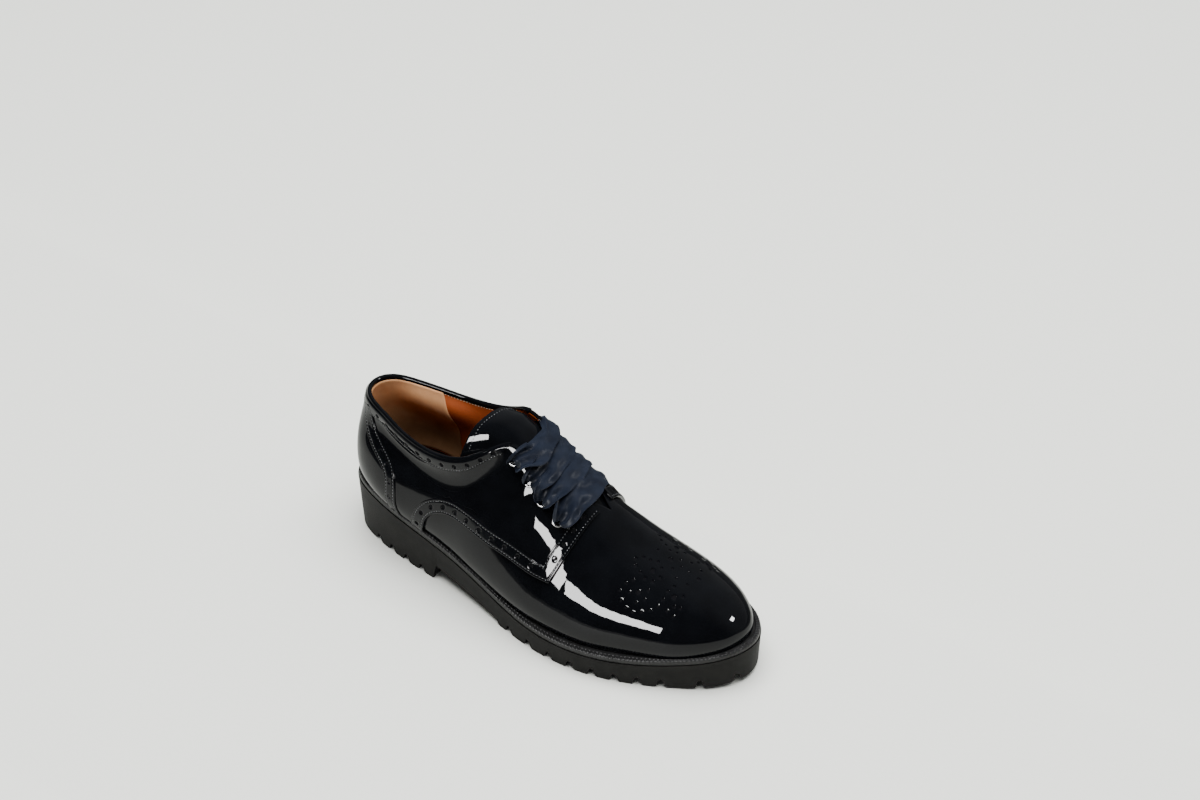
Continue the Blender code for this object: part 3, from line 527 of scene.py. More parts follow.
def drift(s, v, direction, distance, steps=5):
    """Follows the wall from each place along a direction in space, for a distance in millimetres."""
    s, v = np.array(s, float), np.array(v, float)
    pace = np.broadcast_to(np.asarray(distance, float), s.shape) / steps
    for _ in range(steps):
        by_s, by_v = slopes(s, v)
        normal = unit(np.cross(by_s, by_v))
        along = direction - (direction * normal).sum(-1)[..., None] * normal
        along = unit(along) * np.linalg.norm(direction, axis=-1)[..., None]
        ss, sv, vv = (by_s * by_s).sum(-1), (by_s * by_v).sum(-1), (by_v * by_v).sum(-1)
        rs, rv = (by_s * along).sum(-1), (by_v * along).sum(-1)
        bottom = ss * vv - sv * sv
        s = s + pace * (rs * vv - rv * sv) / bottom
        v = v + pace * (rv * ss - rs * sv) / bottom
    return s, v


def even_line(s, v, spacing):
    """The same line on the wall, in even steps."""
    run = run_along(wall(s, v))
    at = np.linspace(0, run[-1], max(int(round(run[-1] / spacing)), 2) + 1)
    return np.interp(at, run, s), np.interp(at, run, v)


def beside(s, v, side):
    """Unit directions along a line on the wall, and square to it towards the heel or upwards."""
    along = unit(np.gradient(wall(s, v), axis=0))
    return along, -side * np.cross(wall_normal(s, v), along)


# Building pieces


def grid(bm, columns, rows, place):
    """Adds a grid to bm whose corner (u, v), each from 0 to 1, lies at place(u, v) in millimetres."""
    made = bmesh.ops.create_grid(bm, x_segments=columns, y_segments=rows, size=1.0, calc_uvs=True)["verts"]
    uv = np.array([vert.co[:2] for vert in made], float) / 2 + 0.5
    for vert, point in zip(made, row(place(uv[:, 0], uv[:, 1]))):
        vert.co = point
    return made, uv


def index_of(share, count):
    return np.round(share * count).astype(int)


def weld(bm):
    bmesh.ops.remove_doubles(bm, verts=bm.verts[:], dist=WELD * MM)


def turn_outwards(bm):
    bmesh.ops.recalc_face_normals(bm, faces=bm.faces[:])


def close_ends(bm):
    """Caps the open ends of a tube and turns all its faces outwards."""
    bmesh.ops.holes_fill(bm, edges=[edge for edge in bm.edges if edge.is_boundary], sides=0)
    turn_outwards(bm)


def mesh_of(name, bm):
    mesh = bpy.data.meshes.new(name)
    bm.to_mesh(mesh)
    bm.free()
    return mesh


def add_object(name, data):
    obj = bpy.data.objects.new(name, data)
    bpy.context.scene.collection.objects.link(obj)
    return obj


def make_piece(name, bm, materials, nodes=(), sharp=None):
    mesh = mesh_of(name, bm)
    mesh.shade_smooth()
    if sharp:
        mesh.set_sharp_from_angle(angle=math.radians(sharp))
    for material in materials:
        mesh.materials.append(material)
    obj = add_object(name, mesh)
    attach(obj, "root")
    if nodes:
        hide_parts(*nodes)
    return obj


def thicken(obj, thickness, offset, inner_material=0, rim_material=0, even=True):
    """Solidify: offset -1 grows the sheet inwards, 1 outwards and 0 both ways; even is off on sharp folds."""
    shell = obj.modifiers.new("wall", "SOLIDIFY")
    shell.thickness = thickness * MM
    shell.offset = offset
    shell.use_even_offset = even
    shell.material_offset = inner_material
    shell.material_offset_rim = rim_material


def facing(normal):
    """Rotation that turns +Z to a direction."""
    return Vector(normal).to_track_quat("Z", "Y").to_matrix().to_4x4()


def punch(bm, sheet, holes, depth=PUNCH_DEPTH, roll=PUNCH_ROLL):
    """Round blind holes in a sheet's vertices: each is a place, a direction and a radius in millimetres."""
    tree = kdtree.KDTree(len(sheet))
    for i, vert in enumerate(sheet):
        tree.insert(vert.co, i)
    tree.balance()
    for centre, normal, radius in holes:
        middle = Vector(row(centre))
        reach = (radius + roll + PUNCH_MARGIN) * MM
        gone = {sheet[i] for _, i, _ in tree.find_range(middle, reach) if sheet[i].is_valid}
        if not gone:
            continue
        edges = {edge for vert in gone for face in vert.link_faces for edge in face.edges}
        rim = [edge for edge in edges if not gone.intersection(edge.verts)]
        bmesh.ops.delete(bm, geom=list(gone), context="VERTS")
        loose = [edge for edge in rim if edge.is_valid and edge.is_wire]
        bmesh.ops.delete(bm, geom=loose, context="EDGES")
        rim = [edge for edge in rim if edge.is_valid and edge.is_boundary]
        turn = Matrix.Translation(middle) @ facing(normal)
        ring = bmesh.ops.create_circle(
            bm, cap_ends=False, segments=PUNCH_SEGMENTS, radius=(radius + roll) * MM, matrix=turn
        )["verts"]
        lip = list({edge for vert in ring for edge in vert.link_edges})
        bmesh.ops.bridge_loops(bm, edges=rim + lip)
        for share, down, sharp in PUNCH_STEPS:
            deep = bmesh.ops.extrude_edge_only(bm, edges=lip)["geom"]
            lip = [item for item in deep if isinstance(item, bmesh.types.BMEdge)]
            ring = [item for item in deep if isinstance(item, bmesh.types.BMVert)]
            span = (radius + roll * (1 - share)) * MM
            for vert in ring:
                out = vert.co - middle
                out = (out - Vector(normal) * out.dot(Vector(normal))).normalized()
                vert.co = middle + out * span - Vector(normal) * depth * down * MM
            for edge in lip:
                edge.smooth = not sharp
        for face in bmesh.ops.edgeloop_fill(bm, edges=lip)["faces"]:
            face.material_index = 1


def holes_at(places, offset, radius):
    """Holes for punch() at stations and shares on the wall."""
    return [(skin(a, b, offset), wall_normal(a, b), radius) for a, b in zip(*places)]


def stitch_row(bm, s, v, offset):
    """Thread beads along a line on the wall."""
    sew(bm, skin(s, v, offset), wall_normal(s, v))


def sew(bm, points, normals):
    run = run_along(points)
    at = np.arange(STITCH_PITCH / 2, run[-1], STITCH_PITCH)

    def sampled(places, values):
        return np.stack([np.interp(places, run, values[:, i]) for i in range(3)], axis=1)

    up = unit(sampled(at, normals))
    along = unit(sampled(at + 0.3, points) - sampled(at - 0.3, points))
    across = unit(np.cross(up, along))
    sizes = np.array([BEAD_LENGTH * STITCH_PITCH, BEAD_WIDTH, BEAD_WIDTH]) / 2
    beads = bmesh.new()
    for p, a, b, c in zip(row(sampled(at, points)), along, across, up):
        place = Matrix.Identity(4)
        for column, (axis, size) in enumerate(zip((a, b, c), sizes)):
            for line in range(3):
                place[line][column] = axis[line] * size * MM
        place.translation = Vector(p)
        bmesh.ops.create_uvsphere(beads, u_segments=6, v_segments=5, radius=1.0, matrix=place)
    mesh = mesh_of("beads", beads)
    bm.from_mesh(mesh)
    bpy.data.meshes.remove(mesh)


# Finishes


class Finish:
    """A material built up from noises on the piece's own place; values go on the shader's own sockets."""

    def __init__(self, name, colour, roughness, values=(), metallic=0.0):
        self.material = bpy.data.materials.new(name)
        self.material.use_nodes = True
        self.nodes, self.links = self.material.node_tree.nodes, self.material.node_tree.links
        self.shader = self.nodes["Principled BSDF"]
        plain = (("Base Color", (*colour, 1.0)), ("Roughness", roughness), ("Metallic", metallic))
        for socket, value in (*plain, *values):
            self.shader.inputs[socket].default_value = value

    def node(self, kind, **values):
        made = self.nodes.new(kind)
        for socket, value in values.items():
            made.inputs[socket.replace("_", " ")].default_value = value
        return made

    def feed(self, output, socket):
        self.links.new(output, self.shader.inputs[socket])

    def noise(self, scale, detail=2.0, rough=0.5):
        texture = self.node("ShaderNodeTexNoise", Scale=scale, Detail=detail, Roughness=rough)
        self.links.new(self.node("ShaderNodeTexCoord").outputs["Object"], texture.inputs["Vector"])
        return texture.outputs["Fac"]

    def tint(self, factor, *stops):
        """Colour by a factor, through (place, colour) stops."""
        ramp = self.node("ShaderNodeValToRGB")
        for i, (place, colour) in enumerate(stops):
            stop = ramp.color_ramp.elements[i] if i < 2 else ramp.color_ramp.elements.new(place)
            stop.position = place
            stop.color = (*colour, 1.0)
        self.links.new(factor, ramp.inputs["Fac"])
        self.feed(ramp.outputs["Color"], "Base Color")

    def deepen(self, low, high, least, axis="Z"):
        """Darkens the colour along an axis, from high to low in millimetres, where it keeps a share; on the
        lining and the heel grip this is painted shade deep inside the shoe.
        """
        colour = self.shader.inputs["Base Color"].links[0].from_socket
        parts = self.node("ShaderNodeSeparateXYZ")
        fade = self.node("ShaderNodeMapRange", From_Min=low * MM, From_Max=high * MM, To_Min=least)
        fade.interpolation_type = "SMOOTHSTEP"
        mix = self.node("ShaderNodeMix")
        mix.data_type = "RGBA"
        mix.inputs[6].default_value = (0.0, 0.0, 0.0, 1.0)
        self.links.new(self.node("ShaderNodeTexCoord").outputs["Object"], parts.inputs["Vector"])
        self.links.new(parts.outputs[axis], fade.inputs["Value"])
        self.links.new(fade.outputs["Result"], mix.inputs["Factor"])
        self.links.new(colour, mix.inputs[7])
        self.feed(mix.outputs[2], "Base Color")

    def vary_roughness(self, factor, low, high):
        spread = self.node("ShaderNodeMapRange", To_Min=low, To_Max=high)
        self.links.new(factor, spread.inputs["Value"])
        self.feed(spread.outputs["Result"], "Roughness")

    def bump(self, *layers):
        """Stacked bumps: (height, strength, distance in millimetres)."""
        last = None
        for height, strength, distance in layers:
            node = self.node("ShaderNodeBump", Strength=strength, Distance=distance * MM)
            self.links.new(height, node.inputs["Height"])
            if last:
                self.links.new(last, node.inputs["Normal"])
            last = node.outputs["Normal"]
        self.feed(last, "Normal")
        return last


def patent_leather():
    coat = (("Coat Weight", 0.5), ("Coat Roughness", 0.025), ("Coat IOR", 1.38))
    finish = Finish("patent_leather", (0.0025, 0.0027, 0.0034), 0.06, (("Specular IOR Level", 0.0), *coat))
    broad, fine = finish.noise(60.0), finish.noise(900.0)
    finish.tint(broad, (0.3, (0.0018, 0.002, 0.0026)), (0.7, (0.003, 0.0034, 0.0044)))
    finish.vary_roughness(broad, 0.045, 0.085)
    finish.feed(finish.bump((broad, 0.3, 0.8), (fine, 0.03, 0.1)), "Coat Normal")
    return finish.material


def punched_edge():
    finish = Finish("punched_edge", (0.003, 0.003, 0.004), 0.7, (("Specular IOR Level", 0.03),))
    grain = finish.noise(2500.0, 3.0)
    finish.tint(grain, (0.3, (0.002, 0.002, 0.003)), (0.8, (0.006, 0.006, 0.007)))
    finish.bump((grain, 0.4, 0.1))
    return finish.material


def thread(name, dark, light, roughness):
    finish = Finish(name, light, roughness, (("Specular IOR Level", 0.8),))
    twist = finish.noise(3000.0)
    finish.tint(twist, (0.35, dark), (0.7, light))
    finish.bump((twist, 0.3, 0.08))
    return finish.material


def lining_leather():
    finish = Finish("lining_leather", (0.36, 0.12, 0.03), 0.42, (("Specular IOR Level", 0.06),))
    cloud, pores = finish.noise(45.0, 4.0), finish.noise(1800.0, 3.0)
    tans = (0.25, (0.37, 0.068, 0.012)), (0.55, (0.46, 0.092, 0.017)), (0.8, (0.56, 0.122, 0.025))
    finish.tint(cloud, *tans)
    # Painted shade: the lining darkens from 100 mm down to 62 mm, keeping 0.3 of its colour, for the shade
    # deep inside the shoe.
    finish.deepen(62.0, 100.0, 0.3)
    finish.vary_roughness(pores, 0.34, 0.55)
    finish.bump((pores, 0.25, 0.12), (cloud, 0.2, 0.5))
    return finish.material


def suede():
    sheen = (("Sheen Weight", 0.04), ("Sheen Roughness", 0.5), ("Sheen Tint", (0.9, 0.7, 0.5, 1.0)))
    finish = Finish("heel_grip_suede", (0.56, 0.30, 0.12), 0.85, (("Specular IOR Level", 0.1), *sheen))
    cloud, nap = finish.noise(70.0, 5.0, 0.6), finish.noise(2600.0, 4.0, 0.7)
    sands = (0.25, (0.58, 0.28, 0.125)), (0.55, (0.72, 0.375, 0.175)), (0.8, (0.82, 0.46, 0.225))
    finish.tint(cloud, *sands)
    # Painted shade: the heel grip darkens from 95 mm down to 50 mm, keeping 0.13 of its colour, for the shade
    # deep inside the shoe.
    finish.deepen(50.0, 95.0, 0.13)
    finish.bump((nap, 0.5, 0.2), (cloud, 0.3, 0.6))
    return finish.material


def insole_leather():
    finish = Finish("insole_leather", (0.28, 0.09, 0.025), 0.5)
    cloud, pores = finish.noise(35.0, 4.0), finish.noise(1500.0, 3.0)
    finish.tint(cloud, (0.3, (0.055, 0.017, 0.0046)), (0.75, (0.09, 0.031, 0.009)))
    finish.bump((pores, 0.3, 0.15))
    return finish.material


def rubber():
    finish = Finish("sole_rubber", (0.017, 0.0165, 0.0155), 0.55, (("Specular IOR Level", 0.06),))
    cloud, specks = finish.noise(120.0, 4.0), finish.noise(2200.0, 3.0, 0.7)
    finish.tint(cloud, (0.3, (0.0075, 0.0074, 0.007)), (0.75, (0.012, 0.0118, 0.0111)))
    finish.vary_roughness(specks, 0.48, 0.7)
    finish.bump((specks, 0.35, 0.15), (cloud, 0.15, 0.3))
    return finish.material


def welt_leather():
    finish = Finish("welt_leather", (0.009, 0.009, 0.0095), 0.38, (("Specular IOR Level", 0.2),))
    cloud = finish.noise(200.0, 4.0)
    finish.tint(cloud, (0.3, (0.008, 0.008, 0.0082)), (0.75, (0.015, 0.015, 0.0153)))
    finish.vary_roughness(cloud, 0.3, 0.5)
    finish.bump((cloud, 0.3, 0.2))
    return finish.material


def satin():
    """Ribbon: fine threads across and along, on the ribbon's own map."""
    sheen = (("Sheen Weight", 0.05), ("Sheen Roughness", 0.35), ("Sheen Tint", (0.55, 0.65, 0.9, 1.0)))
    gloss = (("Specular IOR Level", 0.08), ("Anisotropic", 0.5), *sheen)
    finish = Finish("satin_ribbon", (0.016, 0.021, 0.036), 0.42, gloss)
    place = finish.node("ShaderNodeTexCoord").outputs["UV"]
    layers = []
    for scale, axis, strength in ((220.0, "X", 0.1), (70.0, "Y", 0.06)):
        wave = finish.node("ShaderNodeTexWave", Scale=scale, Distortion=0.6)
        wave.wave_type = "BANDS"
        wave.bands_direction = axis
        finish.links.new(place, wave.inputs["Vector"])
        layers.append((wave.outputs["Fac"], strength, 0.03))
    cloud = finish.noise(130.0, 3.0)
    finish.tint(cloud, (0.3, (0.0058, 0.0076, 0.0132)), (0.75, (0.0105, 0.0138, 0.023)))
    finish.bump(*layers)
    return finish.material


def dark_nickel():
    finish = Finish("dark_nickel", (0.16, 0.16, 0.165), 0.2, metallic=1.0)
    wear = finish.noise(900.0, 4.0)
    finish.tint(wear, (0.3, (0.11, 0.11, 0.115)), (0.75, (0.24, 0.235, 0.23)))
    finish.vary_roughness(wear, 0.14, 0.32)
    finish.bump((wear, 0.08, 0.05))
    return finish.material


PATENT = patent_leather()
PUNCHED = punched_edge()
DARK_THREAD = thread("dark_thread", (0.032, 0.033, 0.036), (0.09, 0.092, 0.098), 0.1)
PALE_THREAD = thread("pale_thread", (0.42, 0.25, 0.12), (0.7, 0.5, 0.3), 0.6)
LINING = lining_leather()
SUEDE = suede()
INSOLE = insole_leather()
RUBBER = rubber()
WELT = welt_leather()
SATIN = satin()
NICKEL = dark_nickel()


# Upper


def round_heel(around):
    """Station at a distance from the heel's back, below 0 on the outer side."""
    return np.where(around < 0, -1.0, 1.0) * (HEEL_BACK - np.abs(around))


def stations_between(breaks, counts):
    parts = [np.linspace(a, b, n, endpoint=False) for a, b, n in zip(breaks[:-1], breaks[1:], counts)]
    return np.append(np.concatenate(parts), breaks[-1])


# Stations where the upper's grid changes its pace
UPPER_BREAKS = (0, 6, 7, 10.6, HEEL_BACK)


def make_vamp():
    """The whole outer wall with the toe's punches; the quarters and the counter lie on it."""
    stations = stations_between(UPPER_BREAKS, (126, 14, 36, 60))
    count = len(stations) - 1
    bm = bmesh.new()
    for side in (-1, 1):
        grid(bm, count, 64, lambda u, v: wall(side * stations[index_of(u, count)], v))
    weld(bm)
    turn_outwards(bm)
    places = []
    for radius, spots in TOE_PUNCHES:
        places += [(x, RIDGE_Y + side * gap, radius) for x, gap in spots for side in (-1, 1)]
    places += [(x, RIDGE_Y, r) for x, r in TOE_RIDGE_PUNCHES]
    holes = []
    for x, y, radius in places:
        s, v = settle(x, y)
        holes.append((wall(s, v), wall_normal(s, v), radius))
    punch(bm, bm.verts[:], holes, TOE_PUNCH_DEPTH, TOE_PUNCH_ROLL)
    vamp = make_piece("vamp_shell", bm, (PATENT, PUNCHED), ("upper",))
    thicken(vamp, SHELL_WALL, -1)


def lining_offset(s):
    return LINING_TOP + (LINING_TOE - LINING_TOP) * ease(7.0 - np.abs(s))


# Top edge of the lining: station, height share
LINING_FOOT = 0.01
LINING_EDGE = ((5.2, 1.0), (6.0, 0.93), (7.0, 0.93), (9.0, 0.97), (10.6, 0.972))


def make_lining():
    """Leather inside the wall, a little short of the top line."""
    stations = stations_between(UPPER_BREAKS, (40, 8, 30, 60))
    count = len(stations) - 1
    ceiling = np.interp(stations, *np.array(LINING_EDGE).T)
    bm = bmesh.new()
    for side in (-1, 1):

        def place(u, v):
            i = index_of(u, count)
            s = side * stations[i]
            return skin(s, LINING_FOOT + (ceiling[i] - LINING_FOOT) * v, lining_offset(s))

        grid(bm, count, 30, place)
    weld(bm)
    turn_outwards(bm)
    lining = make_piece("lining_sheet", bm, (LINING,))
    thicken(lining, LINING_THICK, -1)


# Front edge of the heel grip: height share, station
HEEL_GRIP_EDGE = ((0.02, 13.2), (0.32, 13.35), (0.43, 13.43), (0.57, 13.58), (0.78, 13.81), (0.975, 13.97))
HEEL_GRIP_SHARES = (0.02, 0.945)
HEEL_GRIP_THICK = 0.3
HEEL_GRIP_ROUND = 60


def make_heel_grip():
    """Suede round the back of the lining."""
    edge = column_spline(HEEL_GRIP_EDGE)
    bm = bmesh.new()

    def place(u, v):
        share = HEEL_GRIP_SHARES[0] + HEEL_GRIP_SHARES[1] * v
        around = (u * 2 - 1) * (HEEL_BACK - edge(share))
        s = round_heel(around)
        rim = np.clip(np.minimum.reduce([u, 1 - u, 1 - v]) * HEEL_GRIP_ROUND, 0, 1)
        lift = 0.5 * np.sqrt(rim * (2 - rim))
        return skin(s, share, LINING_TOP - LINING_THICK + 0.1 - lift)

    grid(bm, 110, 60, place)
    bm.normal_update()
    grip = make_piece("heel_grip", bm, (SUEDE,))
    thicken(grip, HEEL_GRIP_THICK, 1)


def counter_edge(gap):
    """Station and height share along the counter's front edge, moved forward by gap."""
    points = [(base_station(COUNTER_FOOT + gap), 0.0)]
    points += [locate(x + gap, z, -1) for x, z in COUNTER_EDGE]
    points.append((top_station(COUNTER_TOP + gap), 1.0))
    return polyline_spline(np.array(points) * WALL_SCALE)


def quarter_lines(side):
    """Lower and front line of a quarter as station and share arrays, from the welt to the corner and up."""
    rim = polyline_spline(np.array([locate(x, z, side) for x, z in QUARTER_EDGE]) * WALL_SCALE)
    curve = rim(np.linspace(0, 1, 600)) / WALL_SCALE
    foot = np.array([[base_station(QUARTER_HEEL_END), OVERLAY_FOOT]])
    low = np.concatenate([foot, curve])
    rise = np.linspace(0, 1, 200)
    s0, v0 = low[-1]
    front_s = s0 + (QUARTER_FRONT_STATION - s0) * rise - QUARTER_FRONT_SWEEP * np.sin(math.pi * rise)
    front_v = v0 + (QUARTER_FRONT_TOP - v0) * rise
    return low[:, 0], low[:, 1], front_s, front_v


def edge_roll(points, thickness, radius):
    """Height of a panel's face over its underside, rounded off towards the rim of the grid of points."""
    gaps = [np.linalg.norm(np.diff(points, axis=axis), axis=2) for axis in (0, 1)]
    near = []
    for axis, gap in enumerate(gaps):
        zero = np.zeros_like(np.take(gap, [0], axis=axis))
        run = np.concatenate([zero, np.cumsum(gap, axis=axis)], axis=axis)
        near += [run, np.take(run, [-1], axis=axis) - run]
    share = np.clip(np.minimum.reduce(near) / radius, 0, 1)
    return thickness * np.sqrt(share * (2 - share))


def panel(bm, columns, rows, place, low, top):
    """A closed panel on the wall: place gives station and share on arrays u, v."""
    u, v = np.meshgrid(columns, rows, indexing="ij")
    s, share = (a.reshape(u.shape) for a in place(u.ravel(), v.ravel()))
    lift = low + edge_roll(wall(s, share), top - low, PANEL_ROUND)
    across, along = len(columns) - 1, len(rows) - 1

    def layer(height):
        points = skin(s, share, height)
        return lambda a, b: points[index_of(a, across), index_of(b, along)]

    for height in (lift, np.full_like(lift, low)):
        grid(bm, across, along, layer(height))
    weld(bm)
    turn_outwards(bm)


def crowded(count, near=(0.0, 0.0015, 0.004, 0.008)):
    """Shares from 0 to 1, closer together at both ends."""
    near = np.array(near)
    return np.concatenate([near, np.linspace(0.014, 0.986, count), 1 - near[::-1]])


def overlay_share(share, tuck):
    """Height share on an overlay that stands on the welt and ends short of the top line."""
    return OVERLAY_FOOT + np.clip(share, 0, 1) * (1 - tuck - OVERLAY_FOOT)


def make_quarter(side, name):
    """A side panel between the counter, the collar, the facing and its own curved lower edge."""
    foot_share = 0.1
    back = counter_edge(-PANEL_OVERLAP)
    low_s, low_v, front_s, front_v = quarter_lines(side)
    run = run_along(wall(side * low_s, low_v))
    run = run / run[-1]
    foot = base_station(COUNTER_FOOT - PANEL_OVERLAP), base_station(QUARTER_HEEL_END)
    crest = top_station(COUNTER_TOP - PANEL_OVERLAP), QUARTER_FRONT_STATION

    def low(p):
        on_welt = foot[0] + (foot[1] - foot[0]) * np.clip(p / foot_share, 0, 1)
        q = np.clip((p - foot_share) / (1 - foot_share), 0, 1)
        up = p > foot_share
        return (
            np.where(up, np.interp(q, run, low_s), on_welt),
            np.where(up, np.interp(q, run, low_v), OVERLAY_FOOT),
        )

    def high(p):
        s = crest[0] + (crest[1] - crest[0]) * p
        facing_end = np.clip((THROAT + 0.8 - s) / 0.8, 0, 1)
        under_band = PANEL_TUCK * ease((s - BAND_END + 0.1) / 0.4)
        return s, 1 - under_band - (1 - QUARTER_FRONT_TOP) * facing_end

    def behind(q):
        at = back(q)
        return at[..., 0], overlay_share(at[..., 1] / WALL_SCALE[1], PANEL_TUCK)

    def front(q):
        t = np.linspace(0, 1, len(front_s))
        return np.interp(q, t, front_s), np.interp(q, t, front_v)

    def place(u, v):
        mixed = []
        for axis in (0, 1):
            l0, l1 = low(np.array(0.0))[axis], low(np.array(1.0))[axis]
            h0, h1 = high(np.array(0.0))[axis], high(np.array(1.0))[axis]
            ruled = (1 - v) * low(u)[axis] + v * high(u)[axis]
            ruled = ruled + (1 - u) * behind(v)[axis] + u * front(v)[axis]
            corners = (1 - u) * (1 - v) * l0 + u * (1 - v) * l1 + (1 - u) * v * h0 + u * v * h1
            mixed.append(ruled - corners)
        return side * mixed[0], np.clip(mixed[1], 0.0, 1.0)

    bm = bmesh.new()
    panel(bm, crowded(150), crowded(56), place, PANEL_LOW, QUARTER_TOP)
    make_piece(f"quarter_panel_{name}", bm, (PATENT,), (f"quarter_{name}",))


def trim_profile(width, low, top):
    """Cross-section of a trim strip: distance from its edge and offset, all the way round."""
    dip = 0.16
    near = [(0.5, low), (0.0, low), (0.0, top - 0.45), (0.13, top - 0.14), (0.42, top), (1.0, top)]
    near += [(1.3, top - dip * 0.7), (STITCH_INSET, top - dip), (1.8, top - dip * 0.7), (2.1, top)]
    middle = [(d, top) for d in np.arange(2.7, width - 2.5, 0.62)]
    return near + middle + [(width - d, h) for d, h in near[::-1]]


def loft(bm, points, profile):
    """A closed strip through points by profile row and place along it. Returns the vertices of its face."""
    rows, count = len(profile), points.shape[1] - 1
    made, uv = grid(bm, count, rows, lambda a, b: points[index_of(b, rows) % rows, index_of(a, count)])
    level = np.array([h for _, h in profile])[index_of(uv[:, 1], rows) % rows]
    face = [vert for vert, high in zip(made, level) if high > level.max() - FACE_SLACK]
    weld(bm)
    close_ends(bm)
    return [vert for vert in face if vert.is_valid]


def strip(bm, s, v, heading, profile):
    """A closed strip along a line on the wall. Returns the vertices of its face."""
    laid = [drift(s, v, heading, d) for d, _ in profile]
    return loft(bm, np.array([skin(a, b, h) for (a, b), (_, h) in zip(laid, profile)]), profile)


def spaced(s, v, heading, distance, pitch, ends=(0.5, 0.5)):
    """Places along a strip at a distance from its edge, evenly about a pitch apart."""
    a, b = drift(s, v, heading, distance)
    run = run_along(wall(a, b))
    first, last = ends[0] * pitch, run[-1] - ends[1] * pitch
    at = np.linspace(first, last, max(int(round((last - first) / pitch)), 1) + 1)
    return np.interp(at, run, a), np.interp(at, run, b)


def mitred_line(side):
    """A quarter's lower and front line as one, with directions into the panel that meet at the corner."""
    low_s, low_v, front_s, front_v = quarter_lines(side)
    low = even_line(side * low_s, low_v, LINE_STEP)
    front = even_line(side * front_s, front_v, LINE_STEP)
    low_along, low_in = beside(*low, side)
    front_along, front_in = beside(*front, side)
    half = math.acos(float(-(low_along[-1] * front_along[0]).sum())) / 2
    shear = 1 / math.tan(half)
    fade = 28.0
    low_gap = run_along(wall(*low))
    low_gap = low_gap[-1] - low_gap
    front_gap = run_along(wall(*front))
    low_share, front_share = (np.clip(1 - gap / fade, 0, 1)[:, None] ** 2 for gap in (low_gap, front_gap))
    low_in = low_in - low_along * shear * low_share
    front_in = front_in + front_along * shear * front_share
    s = np.concatenate([low[0], front[0][1:]])
    v = np.concatenate([low[1], front[1][1:]])
    return s, v, np.concatenate([low_in, front_in[1:]]), len(low[0])


def make_quarter_trim(side, name, threads):
    s, v, heading, corner = mitred_line(side)
    bm = bmesh.new()
    top = strip(bm, s, v, heading, trim_profile(TRIM_WIDTH, PANEL_LOW, QUARTER_TRIM_TOP))
    radius, pitch = QUARTER_HOLES
    holes = []
    lines = ((slice(0, corner), (0.6, 1.05)), (slice(corner - 1, None), (1.05, 0.9)))
    for part, ends in lines:
        places = spaced(s[part], v[part], heading[part], TRIM_WIDTH / 2, pitch, ends)
        holes += holes_at(places, QUARTER_TRIM_TOP, radius)
    punch(bm, top, holes)
    make_piece(f"quarter_trim_{name}", bm, (PATENT, PUNCHED), sharp=SHARP_TRIM)
    for distance in (STITCH_INSET, TRIM_WIDTH - STITCH_INSET):
        for part, _ in lines:
            a, b = drift(s[part], v[part], heading[part], distance)
            stitch_row(threads, a, b, QUARTER_TRIM_TOP - STITCH_SINK)


def make_counter():
    edge = counter_edge(0.0)

    def place(u, v):
        at = edge(v)
        around = (u * 2 - 1) * (HEEL_BACK - at[..., 0])
        return round_heel(around), overlay_share(at[..., 1] / WALL_SCALE[1], PANEL_TUCK)

    bm = bmesh.new()
    panel(bm, crowded(150), crowded(54), place, PANEL_LOW, COUNTER_TOP_FACE)
    make_piece("counter_panel", bm, (PATENT,), ("counter",))


def make_counter_trim(side, name, threads):
    curve = counter_edge(0.0)(np.linspace(0, 1, 500)) / WALL_SCALE
    s, v = even_line(side * curve[:, 0], overlay_share(curve[:, 1], COUNTER_TRIM_TUCK), LINE_STEP)
    _, heading = beside(s, v, side)
    bm = bmesh.new()
    top = strip(bm, s, v, heading, trim_profile(COUNTER_TRIM_WIDTH, PANEL_LOW, COUNTER_TRIM_TOP))
    radius, pitch = COUNTER_HOLES
    places = spaced(s, v, heading, COUNTER_TRIM_WIDTH / 2, pitch, (0.7, 1.5))
    punch(bm, top, holes_at(places, COUNTER_TRIM_TOP, radius))
    make_piece(f"counter_trim_{name}", bm, (PATENT, PUNCHED), sharp=SHARP_TRIM)
    for distance in (STITCH_INSET, COUNTER_TRIM_WIDTH - STITCH_INSET):
        a, b = drift(s, v, heading, distance)
        stitch_row(threads, a, b, COUNTER_TRIM_TOP - STITCH_SINK)


def collar_profile():
    """Cross-section of the collar band: up the outside, over the top line and down inside."""
    face, lip, inner = 2.05, 1.1, -1.75
    low = trim_profile(BAND_WIDTH, PANEL_LOW, face)
    outer = [(BAND_WIDTH - d, h) for d, h in low if d < BAND_WIDTH - 2.6]
    shoulder = [(2.0, face), (1.3, 0.6 * face + 0.4 * lip), (0.7, lip + 0.25)]
    centre, radius = (lip + inner) / 2, (lip - inner) / 2
    angles = np.linspace(0, math.pi, 11)
    turn = [(-0.85 * radius * math.sin(a), centre + radius * math.cos(a)) for a in angles]
    inside = [(0.8, inner), (1.7, inner), (2.3, inner + 0.1), (2.55, inner + 0.4), (2.3, -0.3)]
    return outer + shoulder + turn + inside


def below_rim(s):
    """Unit directions down the wall at its top line."""
    return -unit(slopes(s, np.full_like(s, 0.99))[1])


def over_rim(s, distance, offset):
    """Point at a distance below the top line, or above it where the distance is negative."""
    one, down = np.ones_like(s), below_rim(s)
    if distance <= 0:
        return skin(s, one, offset) + down * distance
    return skin(*drift(s, one, down, distance), offset)


